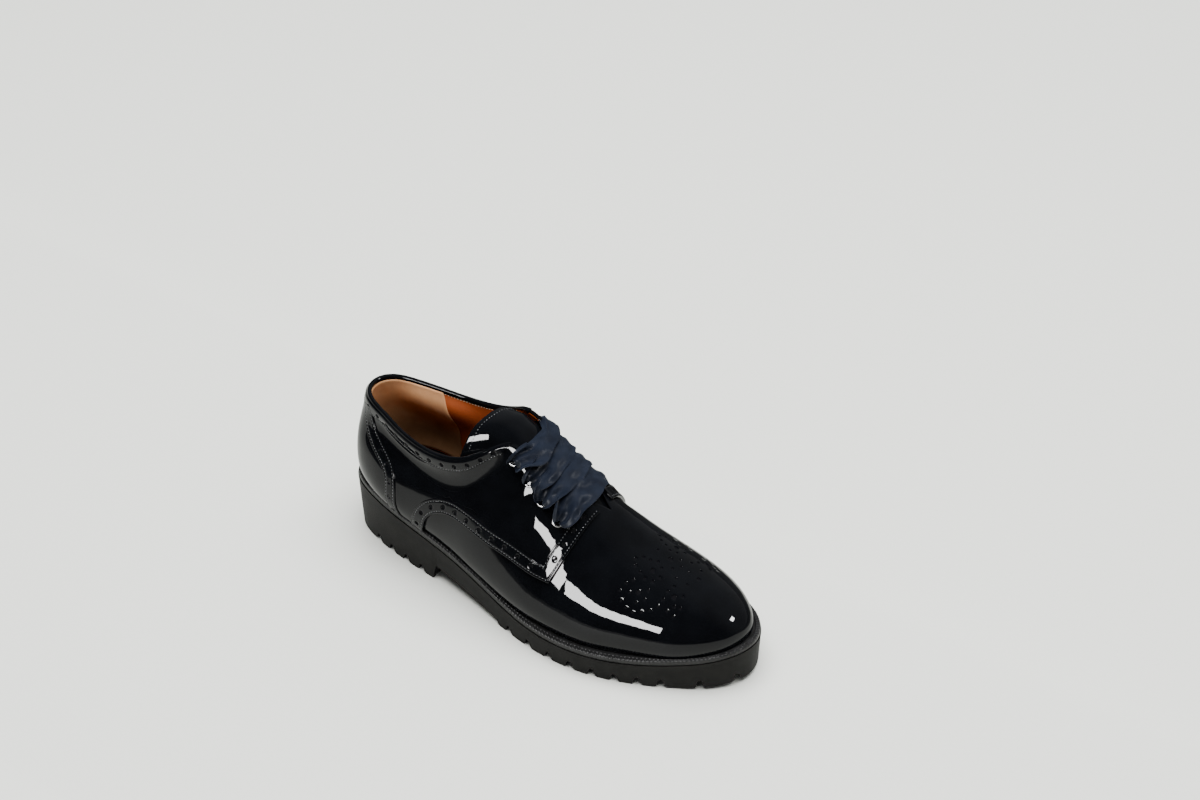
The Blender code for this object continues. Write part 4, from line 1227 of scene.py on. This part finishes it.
def make_collar_band(threads):
    around = np.linspace(-1, 1, 381) * (HEEL_BACK - BAND_END)
    s = round_heel(around)
    profile = collar_profile()
    face = max(h for _, h in profile)
    bm = bmesh.new()
    top = loft(bm, np.array([over_rim(s, d, h) for d, h in profile]), profile)
    one, heading = np.ones_like(s), below_rim(s)
    radius, pitch = BAND_HOLES
    places = spaced(s, one, heading, BAND_WIDTH * BAND_HOLE_LINE, pitch, (0.8, 0.8))
    punch(bm, top, holes_at(places, face, radius))
    make_piece("collar_roll", bm, (PATENT, PUNCHED), ("collar_band",), sharp=SHARP_TRIM)
    a, b = drift(s, one, heading, BAND_WIDTH - STITCH_INSET)
    stitch_row(threads, a, b, face - STITCH_SINK)


# Tongue, eyelets and ribbon


def eyelet_places():
    """Station and height share of each eyelet, top to bottom, the same on both sides."""
    first, last = (np.array(locate(x, z, -1)) for x, z in (EYELET_TOP, EYELET_BOTTOM))
    return [first + (last - first) * i / (EYELET_COUNT - 1) for i in range(EYELET_COUNT)]


EYELETS = eyelet_places()


def arch(s, k, lift, wing):
    """Point over the throat at station s and across it (k from -1 outer to 1 inner), lifted off the wall."""
    shoulder = wing + ARCH_SHOULDER * (1 - wing)
    one = np.ones_like(s)
    points = [skin(side * s, one * share, lift) for side, share in ((-1, wing), (-1, shoulder))]
    edges = [skin(side * s, one, lift) for side in (-1, 1)]
    crown = ARCH_CROWN * np.linalg.norm(edges[1] - edges[0], axis=1)
    points.append((edges[0] + edges[1]) / 2 + crown[:, None] * UP)
    points += [skin(side * s, one * share, lift) for side, share in ((1, shoulder), (1, wing))]
    rows = np.stack(points, axis=1)
    return np.array([natural_spline(ARCH_KNOTS, line)(at) for line, at in zip(rows, k)])


def tongue_place(u, v):
    k = v * 2 - 1
    s = TONGUE_FRONT + (TONGUE_BODY_END - TONGUE_FRONT) * np.minimum(u / TONGUE_BODY, 1.0)
    base = arch(s, k, TONGUE_LIFT, TONGUE_WING)
    neck, top = (natural_spline(TONGUE_KNOTS, line)(k) for line in (TONGUE_NECK, TONGUE_TOP))
    beyond = np.clip((u - TONGUE_BODY) / (1 - TONGUE_BODY), 0, 1)
    share = natural_spline((0.0, 0.5, 1.0), np.eye(3))(beyond)
    return share[:, :1] * base + share[:, 1:2] * neck + share[:, 2:] * top


def make_tongue(threads):
    """A lined leaf under the facings whose top leans back inside the collar."""
    bm = bmesh.new()
    grid(bm, 84, 64, tongue_place)
    bm.normal_update()
    if sum(face.normal.z * face.calc_area() for face in bm.faces) < 0:
        bmesh.ops.reverse_faces(bm, faces=bm.faces[:])
    tongue = make_piece("tongue_leaf", bm, (PATENT, LINING, PUNCHED), ("tongue",))
    thicken(tongue, TONGUE_THICK, -1, inner_material=1, rim_material=2)
    k = np.linspace(TONGUE_SEAM_SPAN[0], TONGUE_SEAM_SPAN[1], 160)
    edge = np.full_like(k, TONGUE_SEAM)
    here = tongue_place(edge, k)
    along = unit(np.gradient(here, axis=0))
    into = unit(here - tongue_place(edge - 0.02, k))
    normal = unit(np.cross(along, into))
    normal = normal * np.sign(normal[:, 2].sum())
    sew(threads, here + normal * 0.1, normal)


# Section of an eyelet: radius, height over the wall
EYELET_PROFILE = (
    (2.3, -2.2),
    *((radius, QUARTER_TOP + height) for radius, height in (
        (2.3, -0.2), (2.42, 0.42), (2.72, 0.76), (3.15, 0.88), (3.55, 0.78), (3.88, 0.48), (4.0, 0.1),
        (3.95, -0.12), (2.75, -0.12),
    )),
    (2.75, -2.2),
)
EYELET_STEPS = 40


def make_eyelets():
    """Turned rings with a rolled flange, one for each hole."""
    for side, name in ((-1, "lateral"), (1, "medial")):
        for index, (s, v) in enumerate(EYELETS):
            bm = bmesh.new()
            ring = [bm.verts.new((r * MM, 0.0, h * MM)) for r, h in EYELET_PROFILE]
            edges = [bm.edges.new((ring[i], ring[(i + 1) % len(ring)])) for i in range(len(ring))]
            turning = {"cent": (0, 0, 0), "axis": (0, 0, 1), "angle": 2 * math.pi, "steps": EYELET_STEPS}
            bmesh.ops.spin(bm, geom=ring + edges, use_merge=True, **turning)
            weld(bm)
            turn_outwards(bm)
            s = side * s
            turn = Matrix.Translation(Vector(row(wall(s, v)))) @ facing(wall_normal(s, v))
            bmesh.ops.transform(bm, matrix=turn, verts=bm.verts[:])
            node = f"eyelet_{name}_{index + 1}"
            make_piece(f"eyelet_ring_{name}_{index + 1}", bm, (NICKEL,), (node,))


RIBBON_HALF = 10.0
RIBBON_LENGTH_STEPS = 150
RIBBON_ACROSS_STEPS = 56
# Across the throat: share from the outer to the inner eyelet, and height over the facing
RIBBON_RISE = (
    (-0.93, 3.0), (-0.78, 4.8), (-0.52, 4.0), (-0.25, 1.8), (0.0, 0.2), (0.35, 1.2), (0.68, 1.4), (0.9, 1.0),
)
# How far the ribbon goes down in an eyelet and how high it comes out of it
RIBBON_DIVE = (-2.6, 0.4, QUARTER_TOP + 1.3)
RIBBON_THICK = 0.3
# How far the middle of each bar slips towards the toe
RIBBON_SLIP = (9.0, 4.5, 1.0, 0.0)
RIBBON_SLIP_RUN = 22.0
# Shares of each bar's width: its heel half on the inner and on the outer side, and any bar's toe half inside
RIBBON_HEEL_SHARE = (0.25, 0.65, 0.85, 1.0)
RIBBON_OUTER_SHARE = (0.68, 0.9, 1.0, 1.0)
RIBBON_TOE_SHARE = 0.85
# Shares of the curl on the inner side and on the toe half, and the least curl
RIBBON_INNER_CURL = -0.45
RIBBON_TOE_CURL = 0.5
RIBBON_LEAST_CURL = 0.02
RIBBON_INNER_PLEATS = 0.3
# By distance from the eyelet: half the gathered width, how far its edges curl up, and the pleats' height
RIBBON_GATHER = ((-4.0, 1.6), (0.0, 2.8), (2.0, 6.2), (4.0, 8.6), (8.0, 9.8), (14.0, RIBBON_HALF))
RIBBON_CURL = ((-4.0, 2.7), (0.0, 2.6), (4.0, 2.4), (8.0, 1.8), (12.0, 0.9), (17.0, 0.2), (21.0, 0.0))
RIBBON_PLEATS = ((-4.0, 0.35), (2.0, 0.6), (6.0, 1.1), (12.0, 1.2), (18.0, 0.7), (24.0, 0.3))
# Ripples of the spread ribbon: height, waves along it and across it
RIBBON_RIPPLES = ((0.9, 0.17, 0.34), (0.35, 0.41, -0.5))
RIBBON_SPREAD_RUN = 13.0


def make_ribbon(index, draw):
    """One bar of the lace: gathered in the outer eyelet, spread over the tongue, gathered again."""
    s, v = EYELETS[index]
    ends = []
    for side in (-1, 1):
        middle, normal = wall(side * s, v), wall_normal(side * s, v)
        ends.append([middle + normal * lift for lift in RIBBON_DIVE])
    k = np.array([place for place, _ in RIBBON_RISE])
    over = arch(np.full_like(k, s), k, QUARTER_TOP, v)
    lean = np.abs(k)[:, None] ** 2
    side_normal = np.where(k[:, None] < 0, wall_normal(-s, v), wall_normal(s, v))
    normal = unit(side_normal * lean + UP * (1 - lean))
    over = over + normal * np.array([rise for _, rise in RIBBON_RISE])[:, None]
    points = np.array(ends[0] + list(over) + ends[1][::-1])
    run = run_along(points)
    centre = natural_spline(run, points)
    share_k = np.array([-1.0, -1.0, -1.0, *k, 1.0, 1.0, 1.0])
    start, end = run[2] - 1.0, run[-3] + 1.0
    phase = draw.uniform(0, 2 * math.pi, 8)

    along = np.linspace(run[0], run[-1], RIBBON_LENGTH_STEPS + 1)
    at_k = np.clip(np.interp(along, run, share_k), -1, 1)
    toe = arch(np.full_like(along, s - 0.2), at_k, QUARTER_TOP, v)
    heel = arch(np.full_like(along, s + 0.2), at_k, QUARTER_TOP, v)
    cross = unit(toe - heel)
    gap = np.minimum(along - start, end - along)
    spread = ease(gap / RIBBON_SPREAD_RUN)
    line = centre(along) + cross * (RIBBON_SLIP[index] * ease(gap / RIBBON_SLIP_RUN))[:, None]
    tangent = unit(np.gradient(line, axis=0))
    cross = unit(cross - (cross * tangent).sum(1)[:, None] * tangent)
    up = np.cross(cross, tangent)
    up = up * np.where(up[len(up) // 2, 2] < 0, -1.0, 1.0)
    half, curl, pleats = (
        np.interp(gap, *np.array(rows).T) for rows in (RIBBON_GATHER, RIBBON_CURL, RIBBON_PLEATS)
    )
    inner = ease((at_k + 0.5) / 0.9)
    curl = curl * (1 + (RIBBON_INNER_CURL - 1) * inner)
    curl = np.where(np.abs(curl) < RIBBON_LEAST_CURL, RIBBON_LEAST_CURL, curl)
    pleats = pleats * (1 + (RIBBON_INNER_PLEATS - 1) * inner)
    heel_share = 1 + (RIBBON_HEEL_SHARE[index] - 1) * inner
    toe_share = 1 + (RIBBON_TOE_SHARE - 1) * inner
    outer_share = 1 + (RIBBON_OUTER_SHARE[index] - 1) * (1 - inner)

    def place(a, b):
        i = index_of(a, RIBBON_LENGTH_STEPS)
        w = b * 2 - 1
        flow, calm = along[i], spread[i]
        bend = curl[i] * np.where(w > 0, RIBBON_TOE_CURL, 1.0)
        turn, radius = w * bend, half[i] * np.where(w < 0, outer_share[i], 1.0) / bend
        sway = 0.06 * flow + 0.8 * np.sin(0.2 * flow + phase[2])
        fold = pleats[i] * np.sin(2.4 * math.pi * w + phase[1] + sway)
        side = (radius - fold) * np.sin(turn) + 0.6 * calm * w * np.sin(0.22 * flow + phase[0])
        side = side * np.where(w < 0, heel_share[i], toe_share[i])
        calm = calm * (1 - 0.5 * inner[i])
        height = radius - (radius - fold) * np.cos(turn)
        height = height + calm * (0.95 * w - 0.8 * w**2 + 1.6 * inner[i] * np.maximum(w, 0.0) ** 2)
        height = height + calm * 0.9 * w**4 * np.sin(0.34 * flow + phase[3] + 1.4 * w)
        for (rise, lengthwise, crosswise), start_at in zip(RIBBON_RIPPLES, phase[4:]):
            height = height + calm * rise * np.sin(lengthwise * flow + crosswise * half[i] * w + start_at)
        return line[i] + cross[i] * side[:, None] + up[i] * height[:, None]

    bm = bmesh.new()
    bm.loops.layers.uv.new("UVMap")
    grid(bm, RIBBON_LENGTH_STEPS, RIBBON_ACROSS_STEPS, place)
    bm.normal_update()
    bar = make_piece(f"ribbon_bar_{index + 1}", bm, (SATIN,), (f"lace_bar_{index + 1}",))
    thicken(bar, RIBBON_THICK, 0, even=False)


# Sole


def make_welt():
    """A ring on the sole's edge whose rim is ribbed all the way round."""
    ribs = int(round(run_along(OUTLINE)[-1] / RIB_PITCH))
    count = ribs * RIB_STEPS
    edge_line = inset(sole_outline(count), WELT_SETBACK)
    normal = inward(edge_line)
    feather = section_at(np.linspace(-HEEL_BACK, HEEL_BACK, 900))[:, :2]
    gap = np.array([np.linalg.norm(feather - p, axis=1).min() for p in edge_line])
    flat, bead = WELT_HEIGHT, WELT_HEIGHT + WELT_BEAD
    # depth from the edge, height, share of the rib's relief; the last two lie under the upper
    profile = (
        (0.25, 0.0, 0.0), (0.0, 0.3, 0.0), (0.0, bead - 2.1, 0.0), (0.05, bead - 1.4, 0.8),
        (0.25, bead - 0.6, 1.0), (0.75, bead - 0.1, 1.0), (1.4, bead, 1.0), (2.0, bead - 0.1, 1.0),
        (2.35, bead - 0.1, 0.4), (2.55, bead + 0.1, 0.0), (2.85, bead + 0.1, 0.0), (3.05, bead - 0.15, 0.0),
        (3.25, flat - 0.6, 0.0), (3.6, flat - 0.5, 0.0), (WELT_FACE, flat, 0.0), (None, flat, 0.0),
        (None, 0.0, 0.0),
    )
    room = np.maximum(gap - 0.2, 0.4)
    rows = len(profile)
    points = np.zeros((rows, count, 3))
    for j, (depth, height, relief) in enumerate(profile):
        inside = gap + WELT_UNDER_UPPER if depth is None else np.minimum(depth, room * depth / WELT_FACE)
        plan = edge_line + normal * np.broadcast_to(inside, count)[:, None]
        points[j, :, :2] = plan
        rib = np.abs(np.sin(math.pi * (np.arange(count) / RIB_STEPS + RIB_SLANT * (depth or 0.0))))
        points[j, :, 2] = sole_top(plan[:, 0]) + CLEARANCE + height - relief * RIB_DEPTH * (1 - rib)
    bm = bmesh.new()
    grid(bm, count, rows, lambda a, b: points[index_of(b, rows) % rows, index_of(a, count) % count])
    weld(bm)
    turn_outwards(bm)
    make_piece("ribbed_welt", bm, (WELT,), ("welt",))


def sole_bottom(x):
    """Height of the sole's underside: heel, breast, arch, tread and toe spring."""
    breast = np.clip((x - HEEL_BREAST) / BREAST_SLOPE, 0, 1) * ARCH_BACK
    waist = np.interp(x, [HEEL_BREAST, TREAD_START], [0.0, ARCH_FRONT - ARCH_BACK])
    tread = np.clip((x - TREAD_START) / TREAD_SLOPE, 0, 1) * -ARCH_FRONT
    spring = TOE_SPRING * np.clip((x - SPRING_START) / (SPRING_END - SPRING_START), 0, 1) ** 2
    return breast + waist + tread + spring


ROUND_STEPS = 0.05 * np.arange(1, 22) ** 2


def slices(low, high, breaks):
    """Distances from the back, close together at the round ends, with the breaks among them."""
    middle = np.linspace(low + ROUND_STEPS[-1] + 1.5, high - ROUND_STEPS[-1] - 1.5, 100)
    middle = np.array([x for x in middle if not len(breaks) or np.abs(np.array(breaks) - x).min() > 0.8])
    x = np.concatenate([low + ROUND_STEPS, middle, high - ROUND_STEPS, breaks])
    return np.unique(np.round(x, 3))


def plate(bm, outline, low_outline, breaks, top, bottom, across):
    """A closed plate between an upper and a lower outline, with heights top(x) and bottom(x)."""
    ends = [(shape[:, 0].min(), *breaks, shape[:, 0].max()) for shape in (outline, low_outline)]
    x = slices(ends[0][0], ends[0][-1], breaks)

    def layer(shape, reach, height):
        def place(u, v):
            along = np.interp(x[index_of(u, len(x) - 1)], ends[0], reach)
            outer, inner = edges_at(shape, along)
            return np.stack([along, outer + (inner - outer) * v, height(along)], axis=1)

        return place

    grid(bm, len(x) - 1, across, layer(outline, ends[0], top))
    grid(bm, len(x) - 1, across, layer(low_outline, ends[1], bottom))
    bmesh.ops.bridge_loops(bm, edges=[edge for edge in bm.edges if edge.is_boundary])
    turn_outwards(bm)


def trench(bm, centre, along, length, lift, cut):
    """A cutter on the plan direction along: cut gives half its width at each height over lift."""
    across = np.array([-along[1], along[0]])
    ring = list(cut) + [(-width, height) for width, height in cut[::-1]]
    count = len(ring)
    rod = bmesh.ops.create_cone(bm, cap_ends=True, segments=count, radius1=1.0, radius2=1.0, depth=1.0)
    for vert in rod["verts"]:
        turn = math.atan2(vert.co.y, vert.co.x) / (2 * math.pi)
        width, height = ring[round(turn * count) % count]
        vert.co = row([*(centre + along * vert.co.z * length + across * width), lift + height])


def ring_groove(bm, outline, x_from, x_to):
    """A groove that follows the outline between two distances from the back."""
    x = np.linspace(x_from, x_to, 33)
    outer, inner = edges_at(outline, x)
    path = np.concatenate([np.stack([x, outer], axis=1), np.stack([x, inner], axis=1)[::-1]])
    half = inward(path) * GROOVE / 2
    lift = sole_bottom(path[:, 0])
    corners = (
        (path - half, CUTTER_LOW), (path - half, GROOVE_DEPTH),
        (path + half, GROOVE_DEPTH), (path + half, CUTTER_LOW),
    )
    points = np.array([np.column_stack([plan, lift + height]) for plan, height in corners])
    count = len(path)
    grid(bm, count, 4, lambda a, b: points[index_of(b, 4) % 4, index_of(a, count) % count])
    weld(bm)


def lug_places():
    """Where the outline is notched between lugs: along both sides of the heel, and round the forefoot."""
    toe = int(np.argmax(OUTLINE[:, 0]))
    sides = np.arange(toe), np.arange(toe, len(OUTLINE))
    notches = HEEL_NOTCHES + FOREFOOT_NOTCHES
    return [side[np.argmin(np.abs(OUTLINE[side, 0] - x))] for side in sides for x in notches]


def carve(obj, bm, name):
    """Cuts the closed shapes in bm out of a piece."""
    turn_outwards(bm)
    cutter = add_object(name, mesh_of(name, bm))
    boolean = obj.modifiers.new(name, "BOOLEAN")
    boolean.operation = "DIFFERENCE"
    boolean.solver = "EXACT"
    boolean.use_self = True
    boolean.object = cutter
    return cutter


def settle_modifiers(obj):
    """Makes the shape that a piece's modifiers give its own mesh."""
    made = bpy.data.meshes.new_from_object(obj.evaluated_get(bpy.context.evaluated_depsgraph_get()))
    obj.modifiers.clear()
    obj.data = made


def make_outsole():
    taper = np.interp(OUTLINE[:, 0], (0, HEEL_BREAST, TREAD_START), SOLE_TAPER)
    breaks = [HEEL_BREAST, HEEL_BREAST + BREAST_SLOPE, TREAD_START, TREAD_START + TREAD_SLOPE]
    bm = bmesh.new()
    plate(bm, OUTLINE, inset(OUTLINE, taper), breaks, sole_top, sole_bottom, 8)
    sole = make_piece("lug_sole", bm, (RUBBER,), ("outsole",), sharp=SHARP_SOLE)

    bm = bmesh.new()
    normal = inward(OUTLINE)
    for near in lug_places():
        centre = OUTLINE[near] + normal[near] * LUG_LENGTH / 4
        trench(bm, centre, normal[near], LUG_LENGTH * 1.5, float(sole_bottom(centre[0])), LUG_NOTCH)
    cutters = [carve(sole, bm, "lug_notches")]

    bm = bmesh.new()
    for ring in (FOREFOOT_RING, HEEL_RING):
        ring_groove(bm, inset(OUTLINE, ring[0]), ring[1], ring[2])
    island = inset(OUTLINE, FOREFOOT_RING[0] + GROOVE)
    for place in np.arange(*FOREFOOT_GROOVES, LUG_PITCH):
        outer, inner = edges_at(island, place)
        centre = np.array([place, (outer + inner) / 2])
        trench(bm, centre, np.array(GROOVE_SLANT), inner - outer, float(sole_bottom(place)), GROOVE_CUT)
    for place in np.arange(*HEEL_GROOVES, LUG_PITCH):
        centre = np.array([place, 0.0])
        trench(bm, centre, np.array([0.0, 1.0]), HEEL_GROOVE_LENGTH, 0.0, GROOVE_CUT)
    cutters.append(carve(sole, bm, "tread_grooves"))
    settle_modifiers(sole)
    for cutter in cutters:
        bpy.data.objects.remove(cutter)
    sole.data.shade_smooth()
    sole.data.set_sharp_from_angle(angle=math.radians(SHARP_SOLE))


def make_insole():
    feather = section_at(np.linspace(-HEEL_BACK, HEEL_BACK, 720, endpoint=False))[:, :2]
    outline = inset(feather, WELT_UNDER_UPPER)
    bm = bmesh.new()
    plate(
        bm, outline, outline, (),
        lambda x: sole_top(x) + CLEARANCE + INSOLE_HEIGHT,
        lambda x: sole_top(x) + CLEARANCE,
        12,
    )
    make_piece("insole_sock", bm, (INSOLE,), ("insole",), sharp=SHARP_SOLE)


# Sewn row of the lining: height share, then stations where it starts and ends
LINING_SEAM = 0.945
LINING_SEAM_SPAN = (10.7, 13.9)


def make_lining_thread():
    """Pale stitching along the lining's top edge, in front of the heel grip."""
    bm = bmesh.new()
    for side in (-1, 1):
        s = side * np.linspace(*LINING_SEAM_SPAN, 200)
        stitch_row(bm, s, np.full_like(s, LINING_SEAM), LINING_TOP - LINING_THICK - 0.05)
    make_piece("lining_stitches", bm, (PALE_THREAD,))


# Camera, light and floor


CAMERA_TURN = 35.0
CAMERA_TILT = 41.2
CAMERA_DISTANCE = 1500.0
CAMERA_TARGET = np.array([145.0, 0.0, 30.0])
CAMERA_FOCAL = 2424.5
TARGET_PIXEL = (552.6, 550.1)
PICTURE = (1200, 800)
SENSOR = 36.0


def make_camera():
    turn, tilt = math.radians(CAMERA_TURN), math.radians(CAMERA_TILT)
    right = Vector((math.cos(turn), math.sin(turn), 0.0))
    ahead = Vector((-math.sin(turn) * math.cos(tilt), math.cos(turn) * math.cos(tilt), -math.sin(tilt)))
    up = right.cross(ahead)
    x = (TARGET_PIXEL[0] - PICTURE[0] / 2) / CAMERA_FOCAL
    y = -(TARGET_PIXEL[1] - PICTURE[1] / 2) / CAMERA_FOCAL
    aim = (ahead - right * x - up * y).normalized()
    swing = ahead.rotation_difference(aim)
    plain = Matrix((right, up, -ahead)).transposed()
    data = bpy.data.cameras.new("photograph_camera")
    data.sensor_width = SENSOR
    data.lens = CAMERA_FOCAL / PICTURE[0] * SENSOR
    camera = add_object("photograph_camera", data)
    camera.location = Vector(row(CAMERA_TARGET)) - ahead * CAMERA_DISTANCE * MM
    camera.rotation_mode = "QUATERNION"
    camera.rotation_quaternion = swing @ plain.to_quaternion()
    bpy.context.scene.camera = camera


LIGHT_TARGET = (0.0, 0.0, 0.04)
# Lights: azimuth, elevation, distance and size in metres, power
GLOSS_LIGHTS = (
    ("outer_softbox", -90.0, 22.5, 1.4, (0.60, 0.25), 48.0),
    ("toe_lamp", 24.0, 35.0, 1.8, (0.26, 0.2), 27.0),
)
SOFT_LIGHTS = (
    ("rear_panel", 78.0, 52.0, 2.2, (2.4, 1.6), 14.0),
    ("ceiling", 0.0, 90.0, 2.4, (2.6, 2.6), 195.0),
)
# Surroundings: their brightest direction, then colours from the far side to it
WORLD_TURN = (78.0, 25.0)
WORLD_STOPS = ((0.1, (0.03, 0.03, 0.031, 1.0)), (0.6, (0.36, 0.365, 0.36, 1.0)))


def direction(azimuth, elevation):
    a, e = math.radians(azimuth), math.radians(elevation)
    return Vector((math.cos(a) * math.cos(e), math.sin(a) * math.cos(e), math.sin(e)))


def make_light(name, azimuth, elevation, distance, size, power):
    """A soft rectangular light that faces the shoe; azimuth 0 is the toe and 90 the inner side."""
    data = bpy.data.lights.new(name, "AREA")
    data.shape = "RECTANGLE"
    data.size, data.size_y = size
    data.energy = power
    light = add_object(name, data)
    away = direction(azimuth, elevation)
    light.location = Vector(LIGHT_TARGET) + away * distance
    light.rotation_mode = "QUATERNION"
    light.rotation_quaternion = away.to_track_quat("Z", "Y")
    return light


# Dark cloths beside the shoe: where each starts to darken and where it is darkest, in metres
OUTER_FLAG = (-0.30, -0.45)
INNER_FLAG = (0.10, 0.16)
FLAG_DARK = 0.03
FLAG_SPAN = 3.0
FLAG_LIFT = 0.0005
FLOOR_SPAN = 6.0
PAPER = ((0.3, (0.775, 0.79, 0.74)), (0.7, (0.79, 0.805, 0.755)))


def make_sheet(name, material, span, place):
    bm = bmesh.new()
    bmesh.ops.create_grid(bm, x_segments=8, y_segments=8, size=span)
    bmesh.ops.translate(bm, vec=place, verts=bm.verts[:])
    sheet = add_object(name, mesh_of(name, bm))
    sheet.data.materials.append(material)
    return sheet


def studio_paper(name, fade_from=None, fade_to=None):
    """Pale paper, or a cloth that darkens from one place across the shoe to another."""
    finish = Finish(name, PAPER[0][1], 0.75)
    finish.tint(finish.noise(400.0, 4.0), *PAPER)
    if fade_from is not None:
        finish.deepen(fade_to / MM, fade_from / MM, FLAG_DARK, "Y")
    return finish.material


def make_flag(name, near, far):
    """A cloth on the floor that darkens away from the shoe, and that only the gloss of the leather sees."""
    cloth = studio_paper(name, near, far)
    middle = near + math.copysign(FLAG_SPAN, far - near)
    flag = make_sheet(name, cloth, FLAG_SPAN, (0.0, middle, FLAG_LIFT))
    flag.visible_camera = False
    flag.visible_diffuse = False
    flag.visible_shadow = False


def make_stage():
    make_sheet("floor", studio_paper("studio_paper"), FLOOR_SPAN, (0.0, 0.0, 0.0))
    make_flag("outer_flag", *OUTER_FLAG)
    make_flag("inner_flag", *INNER_FLAG)

    world = bpy.data.worlds.new("studio")
    bpy.context.scene.world = world
    world.use_nodes = True
    nodes, links = world.node_tree.nodes, world.node_tree.links
    place = nodes.new("ShaderNodeTexCoord")
    lean = nodes.new("ShaderNodeVectorMath")
    lean.operation = "DOT_PRODUCT"
    lean.inputs[1].default_value = direction(*WORLD_TURN)
    ramp = nodes.new("ShaderNodeValToRGB")
    for stop, (position, colour) in zip(ramp.color_ramp.elements, WORLD_STOPS):
        stop.position = position
        stop.color = colour
    links.new(place.outputs["Generated"], lean.inputs[0])
    links.new(lean.outputs["Value"], ramp.inputs["Fac"])
    links.new(ramp.outputs["Color"], nodes["Background"].inputs["Color"])

    for light in GLOSS_LIGHTS:
        make_light(*light).visible_diffuse = False
    for light in SOFT_LIGHTS:
        make_light(*light).visible_glossy = False


make_camera()
make_stage()
sewing = bmesh.new()
make_vamp()
make_lining()
make_heel_grip()
for lane, label in ((-1, "lateral"), (1, "medial")):
    make_quarter(lane, label)
    make_quarter_trim(lane, label, sewing)
make_counter()
for lane, label in ((-1, "lateral"), (1, "medial")):
    make_counter_trim(lane, label, sewing)
make_collar_band(sewing)
make_tongue(sewing)
make_eyelets()
seed = np.random.default_rng(7)
for bar_index in range(EYELET_COUNT):
    make_ribbon(bar_index, seed)
make_piece("upper_stitches", sewing, (DARK_THREAD,))
make_lining_thread()
make_welt()
make_outsole()
make_insole()
